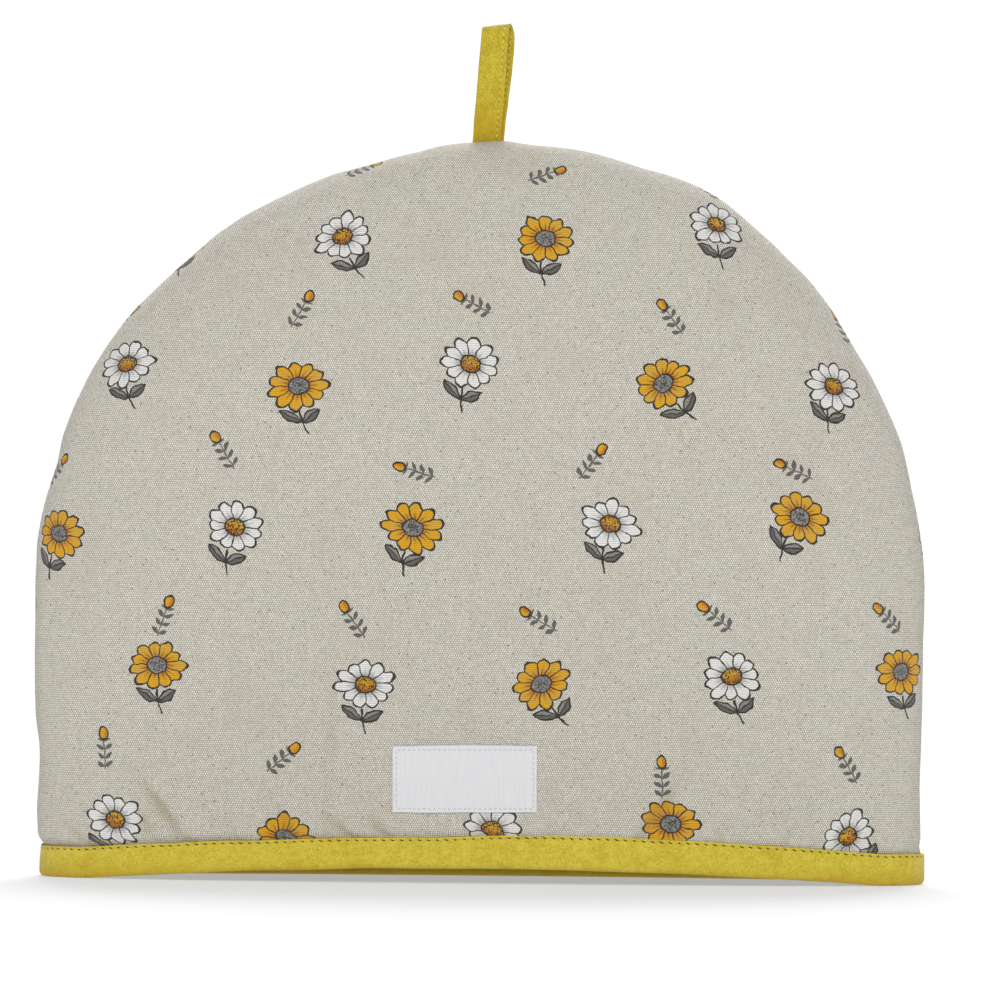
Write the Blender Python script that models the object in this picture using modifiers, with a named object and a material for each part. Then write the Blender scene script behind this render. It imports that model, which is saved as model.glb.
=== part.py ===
"""A padded tea cosy: a front and a back panel sewn round a dome, a bound hem, a hanging loop and a label.

Metres, +Z up. The origin is the middle of the mouth, on the surface that the cosy stands on. The front
faces -Y, and +X is on the right of someone who looks at it. Each panel is a padded wall: its outer and
inner faces follow one outline, and a flat seam face joins them in the plane where the panels meet.
"""

import math
from typing import NamedTuple

import bmesh
import bpy
from mathutils import Vector

MM = 0.001
FRONT, BACK = -1, 1
LEFT, RIGHT = -1, 1

# The outline from the front: straight sides, and the upper half of an ellipse on them.
HALF_WIDTH = 170.8 * MM
SHOULDER_Z = 108.0 * MM
DOME_RISE = 175.3 * MM
TOP_Z = SHOULDER_Z + DOME_RISE

# The section from the side and in plan: a full oval that leans in towards the top.
HALF_DEPTH = 47.0 * MM
LEAN = 0.22
SECTION_POWER = 2.5
EDGE_CALM_POWER = 8  # how close to the sewn edge the soft hollows run before they die out

# The padded wall, and where the binding nips it.
WALL = 7.0 * MM
NIPPED_WALL = 2.7 * MM
NIP_INSET = 2.35 * MM
NIP_TOP = 13.5 * MM
FACE_FULL_AT = 18.5 * MM
WALL_FULL_AT = 40.0 * MM
PANEL_FOOT = 1.8 * MM
SEAM_GAP = 0.3 * MM
SEAM_DIP = 0.9 * MM
SEAM_DIP_FROM = 24.0 * MM

# The binding tape, folded over the hem.
TAPE_HEIGHT = 12.5 * MM
TAPE_PLY = 1.0 * MM
TAPE_INSET = 0.7 * MM
TAPE_THICKNESS = 5.8 * MM
TAPE_FOOT_FLAT = 1.7 * MM
TAPE_CORNER = 0.6 * MM
TAPE_LIP = 0.35 * MM

# The hanging loop, caught in the seam at the top.
LOOP_X = 1.2 * MM
LOOP_TOP_Z = 327.6 * MM
LOOP_WIDTH = 11.5 * MM
LOOP_NARROWING = 0.12
LOOP_LEAN = 2.6 * MM
LOOP_SKEW = 1.6 * MM
LOOP_SKEW_ENDS = 0.83
LOOP_PLY = 1.2 * MM
LOOP_FOOT = 6.0 * MM
LOOP_FOOT_HALF_GAP = 0.75 * MM
LOOP_EYE_HALF_GAP = 3.95 * MM
LOOP_OPENS = 2.0 * MM
LOOP_OPEN_AT = 27.0 * MM
POCKET_HALF_GAP = 1.75 * MM
POCKET_X = 1.2 * MM
POCKET_HALF_WIDTH = 8.5 * MM
POCKET_TAPER = 4.0 * MM
POCKET_DEPTH = 9.0 * MM
POCKET_FADES_AT = 34.0 * MM

# The label, sewn flat on the front.
LABEL_X = -5.75 * MM
LABEL_Z = 39.6 * MM
LABEL_SIZE = (55.0 * MM, 25.7 * MM)
LABEL_PLY = 0.8 * MM
LABEL_GAP = 0.35 * MM

# How finely each piece is divided.
COLUMNS = 36
LOW_ROWS = (0.0, 6.0, 11.6, 13.6, 16.7, 22.0)
HIGH_ROWS = 18
TOP_SPREAD = 30.0
LOOP_LEG_STEPS = 9
LOOP_TURN_STEPS = 8
LABEL_CELLS = (10, 5)
SHARP_ANGLE = 40.0


class Swell(NamedTuple):
    """A stretch of the dome's sewn edge that runs out of true."""

    angle: float  # degrees round the dome, from the right shoulder
    spread: float  # degrees
    out: float  # millimetres


class Dent(NamedTuple):
    """A stretch of a straight side that is drawn in."""

    side: int
    height: float  # millimetres
    spread: float  # millimetres
    out: float  # millimetres


class Fold(NamedTuple):
    """A soft hollow in a panel's face, longer than it is wide."""

    facing: int
    x: float  # millimetres, as are the sizes below
    z: float
    slant: float  # degrees from +X
    length: float
    width: float
    depth: float


class Arch(NamedTuple):
    """The lift of the hem's middle between the places where it stands."""

    rise: float
    half_span: float


EDGE_SWELLS = (
    Swell(20, 3, 0.9),
    Swell(28, 9, 1.1),
    Swell(43, 5, 1.9),
    Swell(59, 8.5, 4.3),
    Swell(105, 7, -3.0),
    Swell(118, 6, -1.4),
    Swell(133, 4, -0.7),
    Swell(149, 7, 1.1),
    Swell(166, 12, 0.9),
)
SIDE_DENTS = (
    Dent(LEFT, 46, 11, -2.3),
    Dent(LEFT, 12, 16, -1.9),
    Dent(RIGHT, 42, 13, -0.6),
)
FOLDS = (
    Fold(FRONT, -57, 46, 88, 26, 10, 0.9),
    Fold(FRONT, -150, 44, 70, 32, 18, 1.5),
    Fold(FRONT, -119, 27, -50, 15, 9, 1.1),
    Fold(FRONT, -46, 27, -65, 13, 9, 0.9),
    Fold(FRONT, 66, 29, 56, 15, 9, 1.0),
    Fold(FRONT, 148, 62, 96, 42, 20, 1.3),
    Fold(FRONT, -118, 165, 58, 46, 20, 1.1),
    Fold(FRONT, 112, 182, 124, 50, 22, 1.2),
    Fold(BACK, 92, 58, 84, 40, 14, 1.6),
    Fold(BACK, -64, 40, 102, 30, 12, 1.3),
    Fold(BACK, 10, 118, 12, 60, 22, 1.4),
    Fold(BACK, -128, 130, 64, 44, 18, 1.2),
)
HEM_ARCH = {
    FRONT: Arch(6.5 * MM, 155.0 * MM),
    BACK: Arch(3.0 * MM, 120.0 * MM),
}


def bell(distance, spread):
    """1 at no distance, fading over about the spread."""
    return math.exp(-0.5 * (distance / spread) ** 2)


def blend(value, start, end):
    """0 up to start, 1 from end on, and an S between them."""
    share = min(max((value - start) / (end - start), 0.0), 1.0)
    return share * share * (3.0 - 2.0 * share)


def side_of(x):
    return RIGHT if x > 0.0 else LEFT


def edge_scale(angle, z, side, radius):
    """How much wider than true the outline is at an angle round the dome and a height."""
    swells = sum(row.out * bell(angle - row.angle, row.spread) for row in EDGE_SWELLS)
    dents = sum(
        row.out * bell(z / MM - row.height, row.spread)
        for row in SIDE_DENTS
        if row.side == side
    )
    return 1.0 + (swells + dents) * MM / radius


def dome_scale(angle):
    """edge_scale at an angle above the shoulder."""
    across = HALF_WIDTH * math.cos(math.radians(angle))
    up = DOME_RISE * math.sin(math.radians(angle))
    return edge_scale(angle, SHOULDER_Z + up, side_of(across), math.hypot(across, up))


def side_half_width(side, z, inset):
    """Half the width of a straight side at a height."""
    angle = 0.0 if side == RIGHT else 180.0
    return (HALF_WIDTH - inset) * edge_scale(angle, z, side, HALF_WIDTH)


def dome_point(angle, inset):
    """(x, z) on the outline above the shoulder, at an angle in degrees from the right."""
    scale = dome_scale(angle)
    x = scale * (HALF_WIDTH - inset) * math.cos(math.radians(angle))
    z = SHOULDER_Z + scale * (DOME_RISE - inset) * math.sin(math.radians(angle))
    return Vector((x, z))


def edge_share(x, z, inset=0.0):
    """0 in the middle of a panel and 1 on its sewn edge."""
    if z <= SHOULDER_Z:
        share = abs(x) / side_half_width(side_of(x), z, inset)
    else:
        across = x / (HALF_WIDTH - inset)
        up = (z - SHOULDER_Z) / (DOME_RISE - inset)
        share = math.hypot(across, up) / dome_scale(math.degrees(math.atan2(up, across)))
    return min(share, 1.0)


def section_depth(share, z, inset):
    """How far a face stands from the seam's plane, at a share of the way to the sewn edge."""
    full = HALF_DEPTH * (1.0 - LEAN * z / TOP_Z) - inset
    return full * (1.0 - share**SECTION_POWER) ** (1.0 / SECTION_POWER)


def hem_lift(x, facing):
    """Height of the binding's underside over the surface."""
    arch = HEM_ARCH[facing]
    return arch.rise * max(0.0, 1.0 - (x / arch.half_span) ** 2)


def face_inset(height):
    """How far the binding draws a panel's outer face in, at a height over the hem."""
    return NIP_INSET * (1.0 - blend(height, NIP_TOP, FACE_FULL_AT))


def wall_at(height):
    """Thickness of the padded wall at a height over the hem."""
    return NIPPED_WALL + (WALL - NIPPED_WALL) * blend(height, NIP_TOP, WALL_FULL_AT)


def fold_depth(x, z, facing):
    """Depth of the soft hollows at a point of a panel's face."""
    total = 0.0
    for row in FOLDS:
        if row.facing != facing:
            continue
        slant = math.radians(row.slant)
        dx, dz = x / MM - row.x, z / MM - row.z
        along = dx * math.cos(slant) + dz * math.sin(slant)
        across = dz * math.cos(slant) - dx * math.sin(slant)
        total += row.depth * bell(along, row.length / 2) * bell(across, row.width / 2)
    return total * MM


def seam_half_gap(x, z):
    """Half the gap between the panels' seam faces, wider where the loop's ends lie between them."""
    past = abs(x - POCKET_X) - POCKET_HALF_WIDTH
    beside = 1.0 - min(max(past / POCKET_TAPER, 0.0), 1.0)
    from_edge = (1.0 - edge_share(x, z)) * DOME_RISE
    below = 1.0 - blend(from_edge, POCKET_DEPTH, POCKET_FADES_AT)
    at_top = blend(z, SHOULDER_Z, TOP_Z - POCKET_FADES_AT)
    widening = (POCKET_HALF_GAP - SEAM_GAP / 2) * beside * below * at_top
    return SEAM_GAP / 2 + widening


def wall_y(x, z, inset, facing):
    """Y of a panel's face that lies at an inset inside the cosy's skin."""
    share = edge_share(x, z, inset)
    depth = section_depth(share, z, inset) + seam_half_gap(x, z)
    height = z - hem_lift(x, facing)
    open_face = blend(height, NIP_TOP, FACE_FULL_AT) * (1.0 - share**EDGE_CALM_POWER)
    return facing * (depth - open_face * fold_depth(x, z, facing))


def edge_climb():
    """Length of a panel's left or right edge, from the hem to where its top edge starts."""
    turn = math.radians(90.0 - TOP_SPREAD)
    return SHOULDER_Z - PANEL_FOOT + turn * (HALF_WIDTH + DOME_RISE) / 2


def edge_point(side, climb, inset):
    """(x, z) on a panel's left or right edge, at a length up from the hem."""
    past_shoulder = climb - (SHOULDER_Z - PANEL_FOOT)
    if past_shoulder <= 0.0:
        z = PANEL_FOOT + climb
        return Vector((side * side_half_width(side, z, inset), z))
    turn = math.degrees(past_shoulder / ((HALF_WIDTH + DOME_RISE) / 2))
    return dome_point(turn if side == RIGHT else 180.0 - turn, inset)


def station(u):
    """The place of a column across the mouth, from -1 to 1, close-set towards the seams."""
    return math.sin(u * math.pi / 2)


def panel_point(u, climb, inset, facing):
    """(x, z) in a panel, worked out from its four edges: u is -1 on the left edge and 1 on the right."""
    across = station(u)
    right = (across + 1.0) / 2
    up = climb / edge_climb()
    low_x = across * side_half_width(side_of(across), PANEL_FOOT, inset)
    low = Vector((low_x, PANEL_FOOT + hem_lift(low_x, facing)))
    top = dome_point(90.0 - TOP_SPREAD * u, inset)
    sides = edge_point(LEFT, climb, inset).lerp(edge_point(RIGHT, climb, inset), right)
    low_ends = edge_point(LEFT, 0.0, inset).lerp(edge_point(RIGHT, 0.0, inset), right)
    top_ends = dome_point(90.0 + TOP_SPREAD, inset).lerp(
        dome_point(90.0 - TOP_SPREAD, inset), right
    )
    return low.lerp(top, up) + sides - low_ends.lerp(top_ends, up)


def row_climbs():
    """How far up the edge each row of a panel starts: close-set by the hem and by the top seam."""
    low = [height * MM for height in LOW_ROWS]
    rest = edge_climb() - low[-1]
    high = [
        low[-1] + rest * math.sin(row / HIGH_ROWS * math.pi / 2)
        for row in range(1, HIGH_ROWS + 1)
    ]
    return low + high


def cloth(name, color, roughness):
    """A plain cloth material."""
    material = bpy.data.materials.new(name)
    material.use_nodes = True
    shader = material.node_tree.nodes["Principled BSDF"]
    shader.inputs["Base Color"].default_value = (*color, 1.0)
    shader.inputs["Roughness"].default_value = roughness
    shader.inputs["Metallic"].default_value = 0.0
    return material


def add_object(name, mesh, material, collection, parent, place=(0.0, 0.0, 0.0)):
    """Put a mesh in the scene as one piece of the cosy."""
    mesh.materials.append(material)
    mesh.shade_smooth()
    mesh.set_sharp_from_angle(angle=math.radians(SHARP_ANGLE))
    obj = bpy.data.objects.new(name, mesh)
    obj.location = place
    obj.parent = parent
    collection.objects.link(obj)
    return obj


def finish_mesh(name, bm):
    """Turn the faces outwards and write the mesh."""
    bmesh.ops.recalc_face_normals(bm, faces=bm.faces)
    if bm.calc_volume(signed=True) < 0.0:
        bmesh.ops.reverse_faces(bm, faces=bm.faces)
    mesh = bpy.data.meshes.new(name)
    bm.to_mesh(mesh)
    bm.free()
    return mesh


def grid_place(vertex, columns, rows):
    """Column and row of a vertex in a new grid of size 1."""
    column = round((vertex.co.x + 1.0) / 2 * columns)
    row = round((vertex.co.y + 1.0) / 2 * rows)
    return column, row


def panel_mesh(name, facing):
    """One padded panel: a grid for the outer face, drawn back into a wall for the inner one."""
    climbs = row_climbs()
    rows = len(climbs) - 1
    bm = bmesh.new()
    bmesh.ops.create_grid(bm, x_segments=COLUMNS, y_segments=rows, size=1.0)
    outer = list(bm.verts)
    drawn = bmesh.ops.extrude_face_region(bm, geom=bm.faces[:])["geom"]
    inner = [item for item in drawn if isinstance(item, bmesh.types.BMVert)]
    for vertices, is_inner in ((outer, False), (inner, True)):
        for vertex in vertices:
            column, row = grid_place(vertex, COLUMNS, rows)
            u = 2.0 * column / COLUMNS - 1.0
            x, z = panel_point(u, climbs[row], 0.0, facing)
            height = z - hem_lift(x, facing)
            inset = face_inset(height)
            if is_inner:
                inset += wall_at(height)
            elif column in (0, COLUMNS) or row == rows:
                inset += SEAM_DIP * blend(height, NIP_TOP, SEAM_DIP_FROM)
            x, z = panel_point(u, climbs[row], inset, facing)
            vertex.co = (x, wall_y(x, z, inset, facing), z)
    return finish_mesh(name, bm)


def tape_section():
    """The folded tape's section as (inset from the skin, height over the hem), once round its two sides."""
    outside = TAPE_INSET
    inside = TAPE_INSET + TAPE_THICKNESS
    flat, corner, lip = TAPE_FOOT_FLAT, TAPE_CORNER, TAPE_LIP
    top, ply = TAPE_HEIGHT, TAPE_PLY
    return (
        (outside + lip, top),
        (outside, top - 2 * lip),
        (outside, flat),
        (outside + corner, corner),
        (outside + flat, 0.0),
        (inside - flat, 0.0),
        (inside - corner, corner),
        (inside, flat),
        (inside, top),
        (inside - ply, top),
        (inside - ply, flat),
        (inside - flat, ply),
        (outside + flat, ply),
        (outside + ply, flat),
        (outside + ply, top),
    )


def binding_mesh(name):
    """The binding: a ring whose round section is reshaped into a folded tape that follows the mouth."""
    section = tape_section()
    ring = 2 * COLUMNS
    bpy.ops.mesh.primitive_torus_add(major_segments=ring, minor_segments=len(section))
    starter = bpy.context.object
    bm = bmesh.new()
    bm.from_mesh(starter.data)
    bpy.data.objects.remove(starter, do_unlink=True)
    bm.verts.ensure_lookup_table()
    for step in range(ring):
        facing = FRONT if step < COLUMNS else BACK
        u = 2.0 * (step % COLUMNS) / COLUMNS - 1.0
        across = station(u) if facing == FRONT else -station(u)
        lift = hem_lift(across * HALF_WIDTH, facing)
        for corner, (inset, height) in enumerate(section):
            z = lift + height
            x = across * side_half_width(side_of(across), z, inset)
            y = facing * section_depth(abs(across), z, inset)
            bm.verts[step * len(section) + corner].co = (x, y, z)
    return finish_mesh(name, bm)


def loop_path():
    """The loop's middle line as (y, height over the seam): up the front leg, over, and down the back."""
    turn_z = LOOP_TOP_Z - TOP_Z - LOOP_PLY / 2 - LOOP_EYE_HALF_GAP
    widening = LOOP_EYE_HALF_GAP - LOOP_FOOT_HALF_GAP
    leg = []
    for step in range(LOOP_LEG_STEPS):
        height = -LOOP_FOOT + (turn_z + LOOP_FOOT) * step / LOOP_LEG_STEPS
        apart = LOOP_FOOT_HALF_GAP + widening * blend(height, LOOP_OPENS, LOOP_OPEN_AT)
        leg.append((apart, height))
    turn = []
    for step in range(LOOP_TURN_STEPS + 1):
        angle = math.pi * step / LOOP_TURN_STEPS
        y = FRONT * LOOP_EYE_HALF_GAP * math.cos(angle)
        turn.append((y, turn_z + LOOP_EYE_HALF_GAP * math.sin(angle)))
    front = [(FRONT * apart, height) for apart, height in leg]
    back = [(BACK * apart, height) for apart, height in reversed(leg)]
    return front + turn + back


def loop_mesh(name):
    """The middle surface of the folded tape, which a Solidify modifier thickens."""
    path = loop_path()
    full = LOOP_TOP_Z - TOP_Z
    bm = bmesh.new()
    bmesh.ops.create_grid(bm, x_segments=2, y_segments=len(path) - 1, size=1.0)
    for vertex in bm.verts:
        row = grid_place(vertex, 2, len(path) - 1)[1]
        y, height = path[row]
        up = max(height, 0.0) / full
        half_width = LOOP_WIDTH / 2 * (1.0 - LOOP_NARROWING * up)
        behind = (1.0 + y / LOOP_EYE_HALF_GAP) / 2
        skew = LOOP_SKEW * behind * math.sin(math.pi * min(up / LOOP_SKEW_ENDS, 1.0))
        vertex.co = (vertex.co.x * half_width + LOOP_LEAN * up + skew, y, height)
    return finish_mesh(name, bm)


def label_mesh(name):
    """The label's back face, lying on the front panel, which a Solidify modifier thickens."""
    columns, rows = LABEL_CELLS
    bm = bmesh.new()
    bmesh.ops.create_grid(bm, x_segments=columns, y_segments=rows, size=0.5)
    middle_y = label_y(LABEL_X, LABEL_Z)
    for vertex in bm.verts:
        x = LABEL_X + vertex.co.x * LABEL_SIZE[0]
        z = LABEL_Z + vertex.co.y * LABEL_SIZE[1]
        vertex.co = (x - LABEL_X, label_y(x, z) - middle_y, z - LABEL_Z)
    mesh = bpy.data.meshes.new(name)
    bm.to_mesh(mesh)
    bm.free()
    return mesh


def label_y(x, z):
    """Y of the label's back face."""
    inset = face_inset(z - hem_lift(x, FRONT))
    return wall_y(x, z, inset, FRONT) + FRONT * LABEL_GAP


def thicken(obj, thickness, offset):
    """Give a sheet its thickness: offset 0 on both sides of it, 1 on the side that it faces."""
    solid = obj.modifiers.new("Ply", "SOLIDIFY")
    solid.thickness = thickness
    solid.offset = offset
    solid.use_even_offset = True


def clear_scene():
    for obj in list(bpy.data.objects):
        bpy.data.objects.remove(obj, do_unlink=True)


def main():
    clear_scene()
    collection = bpy.data.collections.new("tea_cosy")
    bpy.context.scene.collection.children.link(collection)

    canvas = cloth("oatmeal_canvas", (0.533, 0.509, 0.440), 0.92)
    tape = cloth("mustard_tape", (0.571, 0.462, 0.048), 0.88)
    ribbon = cloth("white_ribbon", (0.740, 0.735, 0.745), 0.80)

    front = panel_mesh("front_panel", FRONT)
    back = panel_mesh("back_panel", BACK)
    binding = binding_mesh("hem_binding")
    loop = loop_mesh("hanging_loop")
    label = label_mesh("label")

    root = bpy.data.objects.new("tea_cosy_root", None)
    collection.objects.link(root)
    add_object("front_panel", front, canvas, collection, root)
    add_object("back_panel", back, canvas, collection, root)
    add_object("hem_binding", binding, tape, collection, root)
    loop = add_object(
        "hanging_loop", loop, tape, collection, root, (LOOP_X, 0.0, TOP_Z)
    )
    thicken(loop, LOOP_PLY, 0.0)
    place = (LABEL_X, label_y(LABEL_X, LABEL_Z), LABEL_Z)
    label = add_object("label", label, ribbon, collection, root, place)
    thicken(label, LABEL_PLY, 1.0)


if __name__ == "__main__":
    main()
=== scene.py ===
"""Looks of a padded tea cosy: printed canvas panels, bound hem, hanging loop, plain label and sewing.

Metres, +Z up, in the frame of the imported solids: the origin is the middle of the mouth, on the surface that
the cosy stands on, and the front faces -Y. Every piece follows one CosyForm, which has the outline, section,
hem and hollows of the solids, and adds the finer puckers that sewing leaves in padded cloth.
"""

import logging
import math
from collections.abc import Callable
from dataclasses import dataclass, field, replace
from enum import Enum

import bmesh
import bpy
import numpy as np
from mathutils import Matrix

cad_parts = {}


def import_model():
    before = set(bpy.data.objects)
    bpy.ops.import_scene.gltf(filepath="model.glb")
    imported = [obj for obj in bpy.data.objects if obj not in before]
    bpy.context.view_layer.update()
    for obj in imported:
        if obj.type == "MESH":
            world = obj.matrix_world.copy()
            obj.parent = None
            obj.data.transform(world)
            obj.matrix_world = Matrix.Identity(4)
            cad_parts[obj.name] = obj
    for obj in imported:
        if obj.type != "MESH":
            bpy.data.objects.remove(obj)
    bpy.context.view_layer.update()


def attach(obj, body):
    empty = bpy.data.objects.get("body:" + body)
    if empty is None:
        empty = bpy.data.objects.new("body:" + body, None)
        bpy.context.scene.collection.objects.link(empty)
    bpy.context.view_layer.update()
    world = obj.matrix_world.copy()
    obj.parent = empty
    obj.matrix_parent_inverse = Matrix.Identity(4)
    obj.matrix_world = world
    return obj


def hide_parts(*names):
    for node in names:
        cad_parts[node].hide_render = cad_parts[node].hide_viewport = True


Array = np.ndarray
Run = tuple[Array, Array]  # the holes of a row of stitches, and the way out of the cloth at each
Colour = tuple[float, float, float]

MM = 0.001
CLOTH_UV = "Cloth"
LOG = logging.getLogger("tea_cosy")


class Facing(Enum):
    """Which way a panel faces, as the sign of its Y."""

    FRONT = -1
    BACK = 1


class Side(Enum):
    """Which side of the cosy, as the sign of its X for someone who looks at the front."""

    LEFT = -1
    RIGHT = 1


@dataclass(frozen=True)
class Bump:
    """A stretch of an edge that runs out of true."""

    at: float  # degrees round the dome, or else millimetres
    spread: float  # as at
    out: float  # millimetres

    def over(self, place: Array) -> Array:
        """How far the edge stands out at a place."""
        return self.out * bell(place - self.at, self.spread)


@dataclass(frozen=True)
class Fold:
    """A soft hollow in a panel's face, longer than it is wide."""

    x: float  # millimetres, as are the sizes below
    z: float
    slant: float  # degrees from +X
    length: float
    width: float
    depth: float

    def places(self, x: Array, z: Array) -> tuple[Array, Array]:
        """Find where points lie along and across the hollow.

        Args:
            x: X of the points, in metres.
            z: Z of the points, in metres.

        Returns:
            The distance along the hollow and across it, in millimetres.
        """
        slant = math.radians(self.slant)
        dx, dz = x / MM - self.x, z / MM - self.z
        along = dx * math.cos(slant) + dz * math.sin(slant)
        across = dz * math.cos(slant) - dx * math.sin(slant)
        return along, across


# Round the dome, from the right shoulder.
SWELLS = (
    Bump(20, 3, 0.9),
    Bump(28, 9, 1.1),
    Bump(43, 5, 2.2),
    Bump(59, 8.5, 4.3),
    Bump(62, 5, 1.0),
    Bump(69.6, 1.3, -0.4),
    Bump(76, 4, 1.2),
    Bump(87.4, 1.6, 0.7),
    Bump(93, 6, 0.5),
    Bump(105, 7, -2.9),
    Bump(109.5, 3, 0.5),
    Bump(118, 6, -1.4),
    Bump(132.5, 4.5, -1.1),
    Bump(149, 7, 1.1),
    Bump(164.2, 2.2, -1.3),
    Bump(166, 12, 0.9),
)
# Up the straight sides.
DENTS = {
    Side.LEFT: (Bump(46, 11, -2.3), Bump(12, 16, -1.9)),
    Side.RIGHT: (Bump(42, 13, -0.6), Bump(116, 14, 0.6)),
}
# Along the front hem, where the tape was folded over a little deeper.
DEEPENINGS = (Bump(28, 22, 1.3), Bump(88, 40, 0.9))

# The broad hollows, which the solids have too.
HOLLOWS = {
    Facing.FRONT: (
        Fold(-57, 46, 88, 26, 10, 0.9),
        Fold(-150, 44, 70, 32, 18, 1.5),
        Fold(-119, 27, -50, 15, 9, 1.1),
        Fold(-46, 27, -65, 13, 9, 0.9),
        Fold(66, 29, 56, 15, 9, 1.0),
        Fold(148, 62, 96, 42, 20, 1.3),
        Fold(-118, 165, 58, 46, 20, 1.1),
        Fold(112, 182, 124, 50, 22, 1.2),
    ),
    Facing.BACK: (
        Fold(92, 58, 84, 40, 14, 1.6),
        Fold(-64, 40, 102, 30, 12, 1.3),
        Fold(10, 118, 12, 60, 22, 1.4),
        Fold(-128, 130, 64, 44, 18, 1.2),
    ),
}

# The narrow creases that the topstitching draws in over the hem.
CREASES = {
    Facing.FRONT: (
        Fold(-119.5, 26.0, -54, 20, 3.0, 1.20),
        Fold(-126.0, 20.5, -62, 8, 2.6, 0.75),
        Fold(-72.5, 22.5, -58, 9, 3.0, 0.85),
        Fold(-138, 20.5, -62, 9, 2.8, 0.40),
        Fold(-152.5, 16.5, -40, 8, 2.2, 0.65),
        Fold(-93, 19.5, -70, 8, 2.8, 0.34),
        Fold(-51.3, 20.0, -45, 9, 2.8, 1.05),
        Fold(-36.6, 20.0, -48, 9, 2.8, 0.95),
        Fold(-19, 19.0, -60, 7, 2.5, 0.35),
        Fold(0, 20.5, 58, 9, 2.4, 0.70),
        Fold(8, 19.0, 68, 7, 2.4, 0.40),
        Fold(27, 19.5, 74, 9, 2.8, 0.36),
        Fold(67, 26.0, 55, 18, 3.4, 1.10),
        Fold(92, 19.5, 66, 9, 2.8, 0.38),
        Fold(118, 18.5, 58, 8, 2.8, 0.36),
        Fold(147, 17.0, 48, 8, 2.8, 0.42),
        Fold(-57, 48.0, 88, 34, 5.0, 0.34),
        Fold(-5, 46.0, 92, 36, 5.0, 0.24),
    ),
    Facing.BACK: (
        Fold(132, 20.0, 60, 12, 3.4, 0.50),
        Fold(96, 19.0, -64, 10, 3.2, 0.40),
        Fold(61, 21.0, 54, 14, 3.6, 0.58),
        Fold(24, 18.0, 76, 9, 3.0, 0.28),
        Fold(-18, 20.5, -56, 13, 3.4, 0.54),
        Fold(-52, 19.0, 70, 10, 3.2, 0.36),
        Fold(-101, 20.5, -52, 14, 3.6, 0.60),
        Fold(-144, 17.5, 62, 9, 3.0, 0.32),
    ),
}


def bell(distance: Array, spread: float) -> Array:
    """1 at no distance, fading over about the spread."""
    return np.exp(-0.5 * (distance / spread) ** 2)


def blend(value: Array, start: float, end: float) -> Array:
    """0 up to start, 1 from end on, and an S between them."""
    share = np.clip((value - start) / (end - start), 0.0, 1.0)
    return share * share * (3.0 - 2.0 * share)


def hump(distance: Array, width: float) -> Array:
    """1 at no distance, and a little over a third at the width."""
    return np.exp(-((distance / width) ** 2))


def mix(start: Array | float, end: Array | float, share: Array) -> Array:
    """A value at a share of the way from one value to another."""
    return start * (1.0 - share) + end * share


def lengths_along(points: Array) -> Array:
    """Length of a line of points out to each of them."""
    steps = np.linalg.norm(np.diff(points, axis=0), axis=1)
    return np.concatenate([[0.0], np.cumsum(steps)])


class Unevenness:
    """Smooth seeded noise from -1 to 1, the same in every run."""

    SIZE = 64

    def __init__(self, seed: int) -> None:
        """Draw the values of the lattice."""
        draw = np.random.default_rng(seed)
        self.lattice = draw.uniform(-1.0, 1.0, (self.SIZE, self.SIZE))

    def at(self, across: Array, along: Array | float = 0.0) -> Array:
        """Read the noise.

        Args:
            across: Places in one direction, counted in swells.
            along: Places in the other direction, counted in swells.

        Returns:
            The noise at each place.
        """
        across, along = np.broadcast_arrays(across, along)
        column = np.floor(across).astype(int)
        row = np.floor(along).astype(int)
        right = blend(across - column, 0.0, 1.0)
        up = blend(along - row, 0.0, 1.0)
        column, row = column % self.SIZE, row % self.SIZE
        next_column, next_row = (column + 1) % self.SIZE, (row + 1) % self.SIZE
        low = mix(self.lattice[column, row], self.lattice[next_column, row], right)
        high = mix(self.lattice[column, next_row], self.lattice[next_column, next_row], right)
        return mix(low, high, up)


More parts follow.
